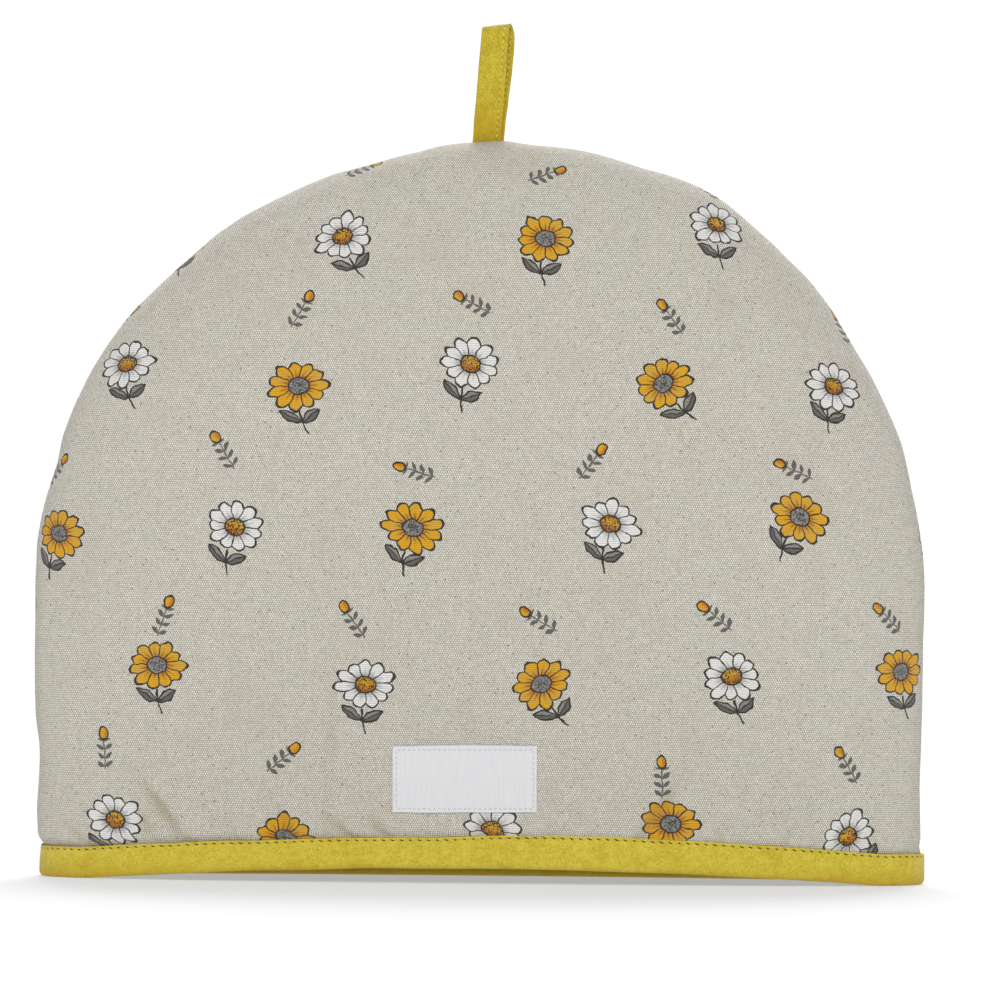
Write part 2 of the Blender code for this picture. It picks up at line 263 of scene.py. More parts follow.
@dataclass(frozen=True)
class CosyForm:
    """The padded dome that every piece follows: its outline, section, hem, hollows and puckers."""

    half_width: float = 170.8 * MM
    shoulder_z: float = 108.0 * MM
    dome_rise: float = 175.3 * MM
    half_depth: float = 47.0 * MM
    lean: float = 0.22
    section_power: float = 2.5
    edge_calm_power: float = 8.0
    top_spread: float = 30.0

    wall: float = 7.0 * MM
    nipped_wall: float = 2.7 * MM
    nip_inset: float = 1.9 * MM
    side_nip: float = 1.35 * MM
    side_nip_from: float = 0.94
    side_ease: float = 3.0 * MM
    nip_top: float = 11.3 * MM
    face_full_at: float = 14.9 * MM
    wall_full_at: float = 40.0 * MM
    panel_foot: float = 1.8 * MM
    seam_gap: float = 0.05 * MM
    seam_dip: float = 1.3 * MM
    seam_roll: float = 1.3 * MM
    seam_dip_from: float = 24.0 * MM
    seam_draw: float = 0.85 * MM
    hem_shift: float = 1.35 * MM
    hem_shift_ends: float = 15.5 * MM

    loop_x: float = 1.05 * MM
    pocket_half_gap: float = 1.5 * MM
    pocket_half_width: float = 6.6 * MM
    pocket_taper: float = 4.0 * MM
    pocket_depth: float = 9.0 * MM
    pocket_fades_at: float = 34.0 * MM

    arch_rise: float = 5.6 * MM
    arch_half_span: float = 155.0 * MM

    hem_pucker: float = 0.72 * MM
    hem_pucker_size: tuple[float, float] = (7.5 * MM, 15.0 * MM)
    hem_pucker_lean: float = 0.45
    hem_pucker_fade: float = 13.0 * MM
    over_hem: tuple[float, float] = (10.8 * MM, 13.3 * MM)
    seam_pucker: float = 0.34 * MM
    seam_pucker_size: float = 8.5 * MM
    seam_pucker_fade: float = 10.0 * MM
    seam_pucker_in: tuple[float, float] = (0.2 * MM, 2.5 * MM)
    wadding_swell: float = 0.42 * MM
    swell_size: float = 48.0 * MM
    wadding_lump: float = 0.14 * MM
    lump_size: float = 15.0 * MM
    crease_ridge: float = 0.45
    noise_slide: float = 40.0  # swells, one way in front and the other way behind

    hem_noise: Unevenness = field(default_factory=lambda: Unevenness(11))
    seam_noise: Unevenness = field(default_factory=lambda: Unevenness(23))
    wadding_noise: Unevenness = field(default_factory=lambda: Unevenness(37))

    @property
    def top_z(self) -> float:
        """Height of the dome's top seam."""
        return self.shoulder_z + self.dome_rise

    def edge_scale(self, angle: Array, z: Array, side: Array, radius: Array) -> Array:
        """Work out how much wider than true the outline is.

        Args:
            angle: Degrees round the dome, from the right shoulder.
            z: Height over the surface.
            side: Sign of X.
            radius: Distance from the middle of the shoulders to the true outline.

        Returns:
            The factor on the true outline's distance.
        """
        out = sum(swell.over(angle) for swell in SWELLS)
        for way, dents in DENTS.items():
            for dent in dents:
                out = out + dent.over(z / MM) * (side == way.value)
        return 1.0 + out * MM / radius

    def dome_radius(self, angle: Array) -> Array:
        """Distance from the middle of the shoulders to the true outline, at an angle in degrees."""
        turn = np.radians(angle)
        return np.hypot(self.half_width * np.cos(turn), self.dome_rise * np.sin(turn))

    def dome_scale(self, angle: Array) -> Array:
        """edge_scale at an angle above the shoulder."""
        z = self.shoulder_z + self.dome_rise * np.sin(np.radians(angle))
        side = np.where(np.cos(np.radians(angle)) > 0.0, 1, -1)
        return self.edge_scale(angle, z, side, self.dome_radius(angle))

    def side_half_width(self, side: Array, z: Array, inset: Array) -> Array:
        """Half the width of a straight side at a height."""
        angle = np.where(side > 0, 0.0, 180.0)
        return (self.half_width - inset) * self.edge_scale(angle, z, side, self.half_width)

    def dome_point(self, angle: Array, inset: Array) -> tuple[Array, Array]:
        """X and Z on the outline above the shoulder, at an angle in degrees from the right."""
        scale, turn = self.dome_scale(angle), np.radians(angle)
        x = scale * (self.half_width - inset) * np.cos(turn)
        return x, self.shoulder_z + scale * (self.dome_rise - inset) * np.sin(turn)

    def edge_share(self, x: Array, z: Array, inset: Array | float = 0.0) -> Array:
        """0 in the middle of a panel and 1 on its sewn edge."""
        side = np.where(x > 0.0, 1, -1)
        low = np.abs(x) / self.side_half_width(side, z, inset)
        across = x / (self.half_width - inset)
        up = (z - self.shoulder_z) / (self.dome_rise - inset)
        angle = np.degrees(np.arctan2(np.maximum(up, 0.0), across))
        high = np.hypot(across, up) / self.dome_scale(angle)
        return np.minimum(np.where(z <= self.shoulder_z, low, high), 1.0)

    def full_depth(self, z: Array) -> Array:
        """How far the middle of a face stands from the seam's plane."""
        return self.half_depth * (1.0 - self.lean * z / self.top_z)

    def section_depth(self, share: Array, z: Array, inset: Array | float) -> Array:
        """How far a face stands from the seam's plane, at a share of the way to the sewn edge."""
        oval = (1.0 - np.clip(share, 0.0, 1.0) ** self.section_power) ** (1.0 / self.section_power)
        return (self.full_depth(z) - inset) * oval

    def hem_lift(self, x: Array, facing: Facing) -> Array:
        """Height of the binding's underside over the surface: in front its middle is drawn up."""
        arch = self.arch_rise * np.maximum(0.0, 1.0 - (x / self.arch_half_span) ** 2)
        return arch * (facing is Facing.FRONT)

    def nip_at(self, height: Array, share: Array) -> Array:
        """How far the binding draws a panel's outer face in, at a height over the hem."""
        side = blend(share, self.side_nip_from, 1.0)
        full_at = self.face_full_at + self.side_ease * side
        nip = self.nip_inset + (self.side_nip - self.nip_inset) * side
        return nip * (1.0 - blend(height, self.nip_top, full_at))

    def slide_at(self, height: Array) -> Array:
        """How far the bound hem sits off to the right of the panels over it."""
        return self.hem_shift * (1.0 - blend(height, self.nip_top, self.hem_shift_ends))

    def wall_at(self, height: Array) -> Array:
        """Thickness of the padded wall at a height over the hem."""
        thicker = (self.wall - self.nipped_wall) * blend(height, self.nip_top, self.wall_full_at)
        return self.nipped_wall + thicker

    def hollow_depth(self, x: Array, z: Array, facing: Facing) -> Array:
        """Depth of the broad hollows at points of a panel's face."""
        total = np.zeros_like(x)
        for fold in HOLLOWS[facing]:
            along, across = fold.places(x, z)
            total += fold.depth * MM * bell(along, fold.length / 2) * bell(across, fold.width / 2)
        return total

    def crease_depth(self, x: Array, z: Array, facing: Facing) -> Array:
        """Depth of the narrow creases, each with a low ridge on one side of it."""
        total = np.zeros_like(x)
        for fold in CREASES[facing]:
            along, across = fold.places(x, z)
            trough = bell(across, fold.width / 2)
            ridge = bell(across - fold.width, fold.width / 2)
            total += fold.depth * MM * bell(along, fold.length / 2) * (trough - self.crease_ridge * ridge)
        return total

    def seam_half_gap(self, x: Array, z: Array) -> Array:
        """Half the gap between the panels' seam faces, wider where the loop's ends lie between them."""
        past = np.abs(x - self.loop_x) - self.pocket_half_width
        beside = 1.0 - np.clip(past / self.pocket_taper, 0.0, 1.0)
        from_edge = (1.0 - self.edge_share(x, z)) * self.dome_rise
        below = 1.0 - blend(from_edge, self.pocket_depth, self.pocket_fades_at)
        at_top = blend(z, self.shoulder_z, self.top_z - self.pocket_fades_at)
        return self.seam_gap / 2 + (self.pocket_half_gap - self.seam_gap / 2) * beside * below * at_top

    def wall_y(self, x: Array, z: Array, inset: Array, facing: Facing) -> Array:
        """Y of a panel's face that lies at an inset inside the cosy's skin."""
        share = self.edge_share(x, z, inset)
        depth = self.section_depth(share, z, inset) + self.seam_half_gap(x, z)
        height = z - self.hem_lift(x, facing)
        open_face = blend(height, self.nip_top, self.face_full_at) * (1.0 - share**self.edge_calm_power)
        return facing.value * (depth - open_face * self.hollow_depth(x, z, facing))

    def developed(self, share: Array, radius: Array, depth: Array) -> Array:
        """Measure the cloth from the middle of a panel outwards.

        Args:
            share: How far towards the sewn edge to measure.
            radius: Distance from the middle to the sewn edge, straight across.
            depth: How far the middle stands from the seam's plane.

        Returns:
            The length over the padded face.
        """
        steps = 1.0 - (1.0 - np.linspace(0.0, 1.0, 81)) ** 3
        run = share[..., None] * steps
        rise = depth[..., None] * (1.0 - run**self.section_power) ** (1.0 / self.section_power)
        pieces = np.hypot(np.diff(run * radius[..., None]), np.diff(rise))
        return pieces.sum(axis=-1)

    def flat_places(self, x: Array, z: Array) -> tuple[Array, Array, Array]:
        """Lay a panel's face out flat, as it was cut.

        Args:
            x: X of points on the face.
            z: Z of points on the face.

        Returns:
            The place across and up the flat cut, and the distance to the sewn edge.
        """
        share = self.edge_share(x, z)
        up = np.maximum(z - self.shoulder_z, 0.0)
        reach = np.hypot(x, up)
        angle = np.degrees(np.arctan2(up / self.dome_rise, x / self.half_width))
        side = np.where(x > 0.0, 1, -1)
        edge = np.where(
            z <= self.shoulder_z,
            self.side_half_width(side, z, 0.0),
            self.dome_radius(angle) * self.dome_scale(angle),
        )
        depth = self.full_depth(z)
        length = self.developed(share, edge, depth)
        to_edge = self.developed(np.ones_like(share), edge, depth) - length
        stretch = length / np.maximum(reach, 1e-6)
        stretch = np.where(reach < 1.0 * MM, 1.0, stretch)
        return x * stretch, np.minimum(z, self.shoulder_z) + up * stretch, to_edge

    def skin_inset(self, x: Array, z: Array, facing: Facing) -> Array:
        """Work out how far sewing and wadding draw a panel's outer face in.

        Args:
            x: X of points on the true skin.
            z: Z of points on the true skin.
            facing: Which panel.

        Returns:
            The distance in from the true skin, negative where the face stands proud.
        """
        height = z - self.hem_lift(x, facing)
        share = self.edge_share(x, z)
        to_edge = self.flat_places(x, z)[2]
        over_hem = blend(height, *self.over_hem)
        at_seam = blend(height, self.nip_top, self.seam_dip_from)
        shift = self.noise_slide * facing.value

        dip = self.seam_dip * np.exp(-((to_edge / self.seam_roll) ** 1.5)) * at_seam
        across, up = self.hem_pucker_size
        hem = self.hem_noise.at((x + self.hem_pucker_lean * height) / across + shift, height / up)
        hem = hem * np.exp(-height / self.hem_pucker_fade)
        edge_x = x / np.maximum(share, 0.5)
        seam = self.seam_noise.at(edge_x / self.seam_pucker_size + shift, z / self.seam_pucker_size)
        seam_fade = np.exp(-to_edge / self.seam_pucker_fade)
        seam_fade = seam_fade * (0.35 + 0.65 * blend(to_edge, *self.seam_pucker_in))
        calm = over_hem * (1.0 - share**self.edge_calm_power)
        swell = self.wadding_noise.at(x / self.swell_size + shift, z / self.swell_size)
        lump = self.wadding_noise.at(x / self.lump_size - shift, z / self.lump_size)

        inset = self.nip_at(height, share) + dip + self.seam_draw * share**6
        inset = inset + self.hem_pucker * over_hem * hem
        inset = inset + self.seam_pucker * seam * seam_fade * at_seam
        inset = inset + (self.wadding_swell * swell + self.wadding_lump * lump) * calm
        return inset + self.crease_depth(x, z, facing) * over_hem

    def edge_climb(self) -> float:
        """Length of a panel's left or right edge, from the hem to where its top edge starts."""
        turn = math.radians(90.0 - self.top_spread)
        return self.shoulder_z - self.panel_foot + turn * (self.half_width + self.dome_rise) / 2

    def edge_point(self, side: Side, climb: Array, inset: Array) -> tuple[Array, Array]:
        """X and Z on a panel's left or right edge, at a length up from the hem."""
        past_shoulder = climb - (self.shoulder_z - self.panel_foot)
        turn = np.degrees(np.maximum(past_shoulder, 0.0) / ((self.half_width + self.dome_rise) / 2))
        dome_x, dome_z = self.dome_point(turn if side is Side.RIGHT else 180.0 - turn, inset)
        z = self.panel_foot + climb
        straight_x = side.value * self.side_half_width(np.full(z.shape, side.value), z, inset)
        is_low = past_shoulder <= 0.0
        return np.where(is_low, straight_x, dome_x), np.where(is_low, z, dome_z)

    def panel_point(self, across: Array, climb: Array, inset: Array, facing: Facing) -> tuple[Array, Array]:
        """Work a place in a panel out from the panel's four edges.

        Args:
            across: Share of the way across the mouth, -1 on the left edge and 1 on the right.
            climb: Length up the left or right edge.
            inset: Distance in from the skin.
            facing: Which panel.

        Returns:
            X and Z of the place.
        """
        right = (across + 1.0) / 2
        up = climb / self.edge_climb()
        low_x = across * self.side_half_width(np.where(across > 0.0, 1, -1), self.panel_foot, inset)
        lows = low_x, self.panel_foot + self.hem_lift(low_x, facing)
        tops = self.dome_point(90.0 - self.top_spread * (np.arcsin(across) * 2 / math.pi), inset)
        bottom = np.zeros_like(climb)
        edges, feet, ends = [], [], []
        for side in Side:
            edges.append(self.edge_point(side, climb, inset))
            feet.append(self.edge_point(side, bottom, inset))
            ends.append(self.dome_point(90.0 - side.value * self.top_spread, inset))
        places = []
        for axis, (low, top) in enumerate(zip(lows, tops)):
            edge, foot, end = (mix(pair[0][axis], pair[1][axis], right) for pair in (edges, feet, ends))
            places.append(mix(low, top, up) + edge - foot * (1.0 - up) - end * up)
        return places[0], places[1]

    def face_point(self, x: Array, z: Array, facing: Facing) -> Array:
        """Y of a panel's sewn and padded outer face."""
        return self.wall_y(x, z, self.skin_inset(x, z, facing), facing)


def graded(count: int, length: float, steps: Array, places: Array) -> Array:
    """Divide a length into steps that follow a wish.

    Args:
        count: Number of steps.
        length: The length to divide.
        steps: The wished step at each of the places.
        places: Where the wishes hold, from 0 to the length.

    Returns:
        The count + 1 ends of the steps.
    """
    fine = np.linspace(0.0, length, 4000)
    density = 1.0 / np.interp(fine, places, steps)
    total = np.concatenate([[0.0], np.cumsum((density[1:] + density[:-1]) / 2)])
    return np.interp(np.linspace(0.0, total[-1], count + 1), total, fine)


def lay_flat(mesh: bpy.types.Mesh, flat: Array) -> None:
    """Write each point's place on the flat cloth, in metres, to a mesh's UV map."""
    while mesh.uv_layers:
        mesh.uv_layers.remove(mesh.uv_layers[0])
    layer = mesh.uv_layers.new(name=CLOTH_UV)
    corners = np.empty(len(mesh.loops), np.int32)
    mesh.loops.foreach_get("vertex_index", corners)
    layer.data.foreach_set("uv", flat[corners].astype(np.float32).ravel())


class ClothGrid:
    """A flat grid that becomes cloth: shaped point by point, closed, thickened, dressed and shaded."""

    SHARPEST = 50.0  # degrees between two faces that still look like one smooth surface

    def __init__(self, name: str, columns: int, rows: int) -> None:
        """Add the flat grid, and read which column and row each of its points is in.

        Args:
            name: Name of the piece.
            columns: Number of cells across.
            rows: Number of cells up.
        """
        bpy.ops.object.select_all(action="DESELECT")
        bpy.ops.mesh.primitive_grid_add(x_subdivisions=columns, y_subdivisions=rows, size=2.0)
        self.object = bpy.context.object
        self.object.name = name
        self.object.data.name = name
        self.columns = columns
        self.rows = rows
        self.read_places()

    @property
    def mesh(self) -> bpy.types.Mesh:
        """The mesh that is being shaped."""
        return self.object.data

    def points(self) -> Array:
        """The points of the mesh, in rows of X, Y and Z."""
        points = np.empty(len(self.mesh.vertices) * 3)
        self.mesh.vertices.foreach_get("co", points)
        return points.reshape(-1, 3)

    def read_places(self) -> None:
        """Read each point's column, row and layer from the flat grid."""
        points = self.points()
        self.column = np.rint((points[:, 0] + 1.0) / 2 * self.columns).astype(int)
        self.row = np.rint((points[:, 1] + 1.0) / 2 * self.rows).astype(int)
        self.is_inner = points[:, 2] > 0.5

    def draw_back(self) -> None:
        """Extrude the face into a wall with an inner face of its own."""
        bpy.ops.object.mode_set(mode="EDIT")
        bpy.ops.mesh.select_all(action="SELECT")
        bpy.ops.mesh.extrude_region_move(TRANSFORM_OT_translate={"value": (0.0, 0.0, 1.0)})
        bpy.ops.object.mode_set(mode="OBJECT")
        self.read_places()

    def place(self, points: Array) -> None:
        """Move every point to its place."""
        self.mesh.vertices.foreach_set("co", points.astype(np.float32).ravel())
        self.mesh.update()

    def lay(self, u: Array, v: Array) -> None:
        """Say where each point lies on the flat cloth, in metres."""
        lay_flat(self.mesh, np.stack([u, v], axis=1))

    def mark(self, name: str, values: Array) -> None:
        """Write one value for each point, for a material to read."""
        marks = self.mesh.attributes.new(name=name, type="FLOAT", domain="POINT")
        marks.data.foreach_set("value", values.astype(np.float32))

    def pick(self) -> None:
        """Select this piece alone and make it the active one."""
        bpy.ops.object.select_all(action="DESELECT")
        self.object.select_set(True)
        bpy.context.view_layer.objects.active = self.object

    def edit(self, operator: str, **settings: float | bool) -> None:
        """Run one edit-mode operator on the whole mesh."""
        self.pick()
        bpy.ops.object.mode_set(mode="EDIT")
        bpy.ops.mesh.select_all(action="SELECT")
        getattr(bpy.ops.mesh, operator)(**settings)
        bpy.ops.object.mode_set(mode="OBJECT")

    def thicken(self, thickness: float, offset: float = 0.0) -> None:
        """Give the sheet its thickness: offset 0 on both sides of it, 1 on the side that it faces."""
        bpy.context.view_layer.objects.active = self.object
        solid = self.object.modifiers.new("Ply", "SOLIDIFY")
        solid.thickness = thickness
        solid.offset = offset
        solid.use_even_offset = True
        bpy.ops.object.modifier_apply(modifier=solid.name)

    def face_outwards(self) -> None:
        """Point every face out of the closed mesh."""
        self.edit("normals_make_consistent", inside=False)
        shell = bmesh.new()
        shell.from_mesh(self.mesh)
        if shell.calc_volume(signed=True) < 0.0:
            bmesh.ops.reverse_faces(shell, faces=shell.faces)
            shell.to_mesh(self.mesh)
        shell.free()

    def dress(self, *materials: bpy.types.Material) -> None:
        """Turn the mesh the right way out, give it its materials, and smooth it but for its cut edges."""
        self.face_outwards()
        for material in materials:
            self.mesh.materials.append(material)
        self.pick()
        bpy.ops.object.shade_smooth_by_angle(angle=math.radians(self.SHARPEST))

    def join(self, node: str) -> bpy.types.Object:
        """Put the piece in the place of a solid, log its size and give its object back."""
        self.mesh.calc_loop_triangles()
        LOG.info("%s: %d triangles", self.object.name, len(self.mesh.loop_triangles))
        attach(self.object, "root")
        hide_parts(node)
        return self.object


def spread(values: Array, at: Array, count: int, axis: int) -> Array:
    """Spread values at some places of an axis over all of its places."""
    return np.apply_along_axis(lambda line: np.interp(np.arange(count), at, line), axis, values)


def softened(values: Array, times: int) -> Array:
    """Even a grid of values out by mixing each with its neighbours, a number of times."""
    for axis in (0, 1):
        values = np.moveaxis(values, axis, 0)
        for _ in range(times):
            wide = np.concatenate([values[:1], values, values[-1:]])
            values = (wide[:-2] + 2.0 * wide[1:-1] + wide[2:]) / 4.0
        values = np.moveaxis(values, 0, axis)
    return values


@dataclass(frozen=True)
class Settling:
    """A run of Blender's cloth: padding presses on a panel's slack cloth, which puckers between its seams."""

    spacing: float = 4.0 * MM
    frames: int = 20
    pressure: float = 1.5
    quality: int = 6
    broad: int = 40
    fine: int = 3
    cap: float = 0.8 * MM

    def picked(self, line: Array) -> Array:
        """The points of a line that lie about one spacing apart."""
        lengths = lengths_along(line)
        places = np.linspace(0.0, lengths[-1], round(lengths[-1] / self.spacing) + 1)
        return np.unique(np.clip(np.searchsorted(lengths, places), 0, len(line) - 1))

    def press(self, points: Array, held: Array, slack: float) -> Array:
        """Run the cloth.

        Args:
            points: The cloth's points, by row and column.
            held: 1 for the points that stay where they are, by row and column.
            slack: How much larger the cloth is than the shape that it is sewn to.

        Returns:
            How far each point has moved.
        """
        cloth = ClothGrid("settling", points.shape[1] - 1, points.shape[0] - 1)
        start = points[cloth.row, cloth.column]
        cloth.place(start)
        sewn = cloth.object.vertex_groups.new(name="sewn")
        sewn.add(np.flatnonzero(held[cloth.row, cloth.column] > 0).tolist(), 1.0, "REPLACE")
        press = cloth.object.modifiers.new("Press", "CLOTH")
        press.point_cache.frame_end = self.frames
        press.settings.vertex_group_mass = sewn.name
        press.settings.use_pressure = True
        press.settings.uniform_pressure_force = self.pressure
        press.settings.shrink_min = -slack
        press.settings.quality = self.quality
        press.settings.effector_weights.gravity = 0.0
        for frame in range(1, self.frames + 1):
            bpy.context.scene.frame_set(frame)
        bpy.context.view_layer.objects.active = cloth.object
        bpy.ops.object.modifier_apply(modifier=press.name)
        moved = np.zeros_like(points)
        moved[cloth.row, cloth.column] = cloth.points() - start
        bpy.data.objects.remove(cloth.object)
        bpy.context.scene.frame_set(1)
        return moved

    def puckers(self, points: Array, held: Array, slack: float) -> Array:
        """What the run adds to a finer grid: its small puckers, with no broad swelling, up to the cap."""
        rows = self.picked(points[:, points.shape[1] // 2])
        columns = self.picked(points[points.shape[0] // 4])
        some = np.ix_(rows, columns)
        moved = self.press(points[some], held[some], slack)
        moved = moved - softened(moved, self.broad)
        size = np.linalg.norm(moved, axis=-1, keepdims=True)
        moved = moved * np.tanh(size / self.cap) / np.maximum(size / self.cap, 1e-6)
        LOG.info("puckers of %.2f mm at most", size.max() / MM)
        moved = spread(spread(moved, rows, points.shape[0], 0), columns, points.shape[1], 1)
        return softened(moved, self.fine) * (1.0 - held[..., None])


Operand = "Signal | float"
Value = "Signal | float | tuple[float, ...]"
Inputs = dict[str | int, Value]  # what a node is fed, by the names or places of its inputs


def arithmetic(operation: str) -> Callable[..., "Signal"]:
    """A method of Signal that adds one math node."""

    def work(signal: "Signal", *others: Operand) -> "Signal":
        """The value of a signal and the others together."""
        return signal.graph.math(operation, signal, *others)

    return work


class Signal:
    """One value of a material's node graph, with arithmetic that adds the nodes it needs."""

    __add__ = arithmetic("ADD")
    __sub__ = arithmetic("SUBTRACT")
    __mul__ = arithmetic("MULTIPLY")
    __truediv__ = arithmetic("DIVIDE")
    __abs__ = arithmetic("ABSOLUTE")
    power = arithmetic("POWER")
    floor = arithmetic("FLOOR")
    nearest = arithmetic("ROUND")
    sine = arithmetic("SINE")
    most = arithmetic("MAXIMUM")

    def __init__(self, graph: "Graph", socket: bpy.types.NodeSocket) -> None:
        """Keep the graph and the socket that gives the value."""
        self.graph = graph
        self.socket = socket

    def __rsub__(self, other: float) -> "Signal":
        """A number less this value."""
        return self.graph.math("SUBTRACT", other, self)

    def step(self, start: float, end: float) -> "Signal":
        """0 up to start, 1 from end on, and an S between them; from 1 down to 0 where end is the lower."""
        ends = {"From Min": min(start, end), "From Max": max(start, end)}
        ends |= {"To Min": float(start > end), "To Max": float(start < end)}
        inputs = {"Value": self, **ends}
        return self.graph.add("ShaderNodeMapRange", inputs, "Result", interpolation_type="SMOOTHSTEP")


class Graph:
    """The node graph of one material, whose shader is ready to be fed."""

    def __init__(self, name: str, roughness: float, sheen: float = 0.0, specular: float = 0.3) -> None:
        """Make the material and set what is the same all over it.

        Args:
            name: Name of the material.
            roughness: Roughness of the surface.
            sheen: How much light the fibres catch at a glancing angle.
            specular: Strength of the mirror-like part.
        """
        self.material = bpy.data.materials.new(name)
        self.material.use_nodes = True
        self.tree = self.material.node_tree
        self.shader = self.tree.nodes["Principled BSDF"]
        looks = {"Roughness": roughness, "Sheen Weight": sheen, "Sheen Roughness": 0.5}
        for name, value in (*looks.items(), ("Specular IOR Level", specular)):
            self.shader.inputs[name].default_value = value

    def feed(self, socket: bpy.types.NodeSocket, value: Value) -> None:
        """Link a signal to a socket, or set the socket to a number or a tuple."""
        if isinstance(value, Signal):
            self.tree.links.new(value.socket, socket)
        else:
            socket.default_value = value

    def node(self, kind: str, inputs: Inputs, **settings: str) -> bpy.types.Node:
        """Add a node with its settings and inputs."""
        node = self.tree.nodes.new(kind)
        for name, value in settings.items():
            setattr(node, name, value)
        for key, value in inputs.items():
            self.feed(node.inputs[key], value)
        return node

    def add(self, kind: str, inputs: Inputs, output: str | int = 0, **settings: str) -> Signal:
        """Add a node and give one of its outputs back."""
        return Signal(self, self.node(kind, inputs, **settings).outputs[output])

    def math(self, operation: str, *values: Operand) -> Signal:
        """One step of arithmetic."""
        return self.add("ShaderNodeMath", dict(enumerate(values)), operation=operation)

    def cloth_place(self) -> tuple[Signal, Signal]:
        """Place across and up the flat cloth, in millimetres."""
        u, v, _ = self.parts(self.add("ShaderNodeUVMap", {}, uv_map=CLOTH_UV))
        return u * (1.0 / MM), v * (1.0 / MM)

    def height(self) -> Signal:
        """Height over the surface that the cosy stands on, in millimetres."""
        return self.parts(self.add("ShaderNodeTexCoord", {}, "Object"))[2] * (1.0 / MM)

    def marked(self, name: str) -> Signal:
        """The values that a piece's points were marked with."""
        return self.add("ShaderNodeAttribute", {}, "Fac", attribute_name=name)

    def point(self, x: Operand, y: Operand = 0.0, z: Operand = 0.0) -> Signal:
        """Three values as one vector."""
        return self.add("ShaderNodeCombineXYZ", {0: x, 1: y, 2: z})

    def parts(self, vector: Signal) -> tuple[Signal, Signal, Signal]:
        """The three values of a vector."""
        node = self.node("ShaderNodeSeparateXYZ", {0: vector})
        return tuple(Signal(self, socket) for socket in node.outputs)

    def chance(self, place: Signal) -> tuple[Signal, Signal, Signal]:
        """Three seeded random values from 0 to 1 for a place."""
        return self.parts(
            self.add("ShaderNodeTexWhiteNoise", {"Vector": place}, "Color", noise_dimensions="3D")
        )

    def mottle(self, place: Signal, scale: float, detail: float = 1.0, output: int = 0) -> Signal:
        """Soft noise, about 0.5 on average."""
        return self.add("ShaderNodeTexNoise", {"Vector": place, "Scale": scale, "Detail": detail}, output)

    def waver(self, place: Signal, scale: float) -> tuple[Signal, Signal, Signal]:
        """Three soft noises that don't follow each other."""
        return self.parts(self.mottle(place, scale, 0.0, output=1))

    def spin(self, x: Signal, y: Signal, angle: Signal) -> tuple[Signal, Signal]:
        """Turn a place about the origin by an angle in radians."""
        inputs = {"Vector": self.point(x, y), "Angle": angle}
        return self.parts(self.add("ShaderNodeVectorRotate", inputs, rotation_type="Z_AXIS"))[:2]

    def tint(self, share: Operand, under: "Signal | Colour", over: "Signal | Colour") -> Signal:
        """Lay one colour over another by a share from 0 to 1."""
        colours = (colour if isinstance(colour, Signal) else (*colour, 1.0) for colour in (under, over))
        return self.add("ShaderNodeMix", dict(zip((0, 6, 7), (share, *colours))), 2, data_type="RGBA")

    def shade(self, colour: Signal, amount: Signal) -> Signal:
        """Make a colour lighter or darker by a factor."""
        return self.add("ShaderNodeVectorMath", {0: colour, "Scale": amount}, operation="SCALE")

    def finish(self, colour: Signal, height: Signal, relief: float, strength: float) -> bpy.types.Material:
        """Feed the shader with its colour and its relief.

        Args:
            colour: Colour of the surface.
            height: Relief from 0 to 1.
            relief: Depth that 1 stands for, in metres.
            strength: How much of the relief shows.

        Returns:
            The finished material.
        """
        self.feed(self.shader.inputs["Base Color"], colour)
        inputs = {"Strength": strength, "Distance": relief, "Height": height}
        self.feed(self.shader.inputs["Normal"], self.add("ShaderNodeBump", inputs, "Normal"))
        return self.material


def seen(red: int, green: int, blue: int) -> Colour:
    """A colour as a screen shows it, from 0 to 255, as light."""
    parts = (part / 255 for part in (red, green, blue))
    return tuple(part / 12.92 if part <= 0.04045 else ((part + 0.055) / 1.055) ** 2.4 for part in parts)


@dataclass(frozen=True)
class Weave:
    """A plain weave: how far apart its threads lie, and how uneven they are."""

    warp_pitch: float  # millimetres from one upright thread to the next
    weft_pitch: float  # millimetres from one level thread to the next
    wander: float  # millimetres that a thread strays
    weft_light: float  # how much lighter the level threads are
    streak: float  # how much the tone changes along and between threads
    slubs: float = 0.25  # how much thicker threads cover thinner ones

    def draw(self, graph: Graph, u: Signal, v: Signal) -> tuple[Signal, Signal]:
        """Add the weave to a graph.

        Args:
            graph: The material's graph.
            u: Place across the cloth, in millimetres.
            v: Place up the cloth, in millimetres.

        Returns:
            The relief, and the tone of the thread on top, both from 0 to 1.
        """
        stray = graph.waver(graph.point(u, v), 0.11)
        u = u + (stray[0] - 0.5) * self.wander
        v = v + (stray[1] - 0.5) * self.wander
        across = u / self.warp_pitch
        up = v / self.weft_pitch
        ridge_u = (across * math.pi).sine()
        ridge_v = (up * math.pi).sine()
        warp_slub = graph.mottle(graph.point(across, v * 0.4), 0.9)
        weft_slub = graph.mottle(graph.point(u * 0.4, up, 5.0), 0.9)
        warp_on_top = (ridge_u * ridge_v + (warp_slub - weft_slub) * self.slubs).step(-0.15, 0.15)
        ridge_u, ridge_v = abs(ridge_u), abs(ridge_v)
        warp = ridge_u * ridge_v.power(0.5)
        weft = ridge_v * ridge_u.power(0.5)
        crossing = graph.chance(graph.point(across.floor(), up.floor(), 11.0))
        slub = weft_slub + (warp_slub - weft_slub) * warp_on_top
        relief = weft + (warp - weft) * warp_on_top
        tone = (0.5 - warp_on_top) * self.weft_light + (slub + crossing[0] * 0.8 - 0.9) * self.streak
        return relief, tone + 0.5


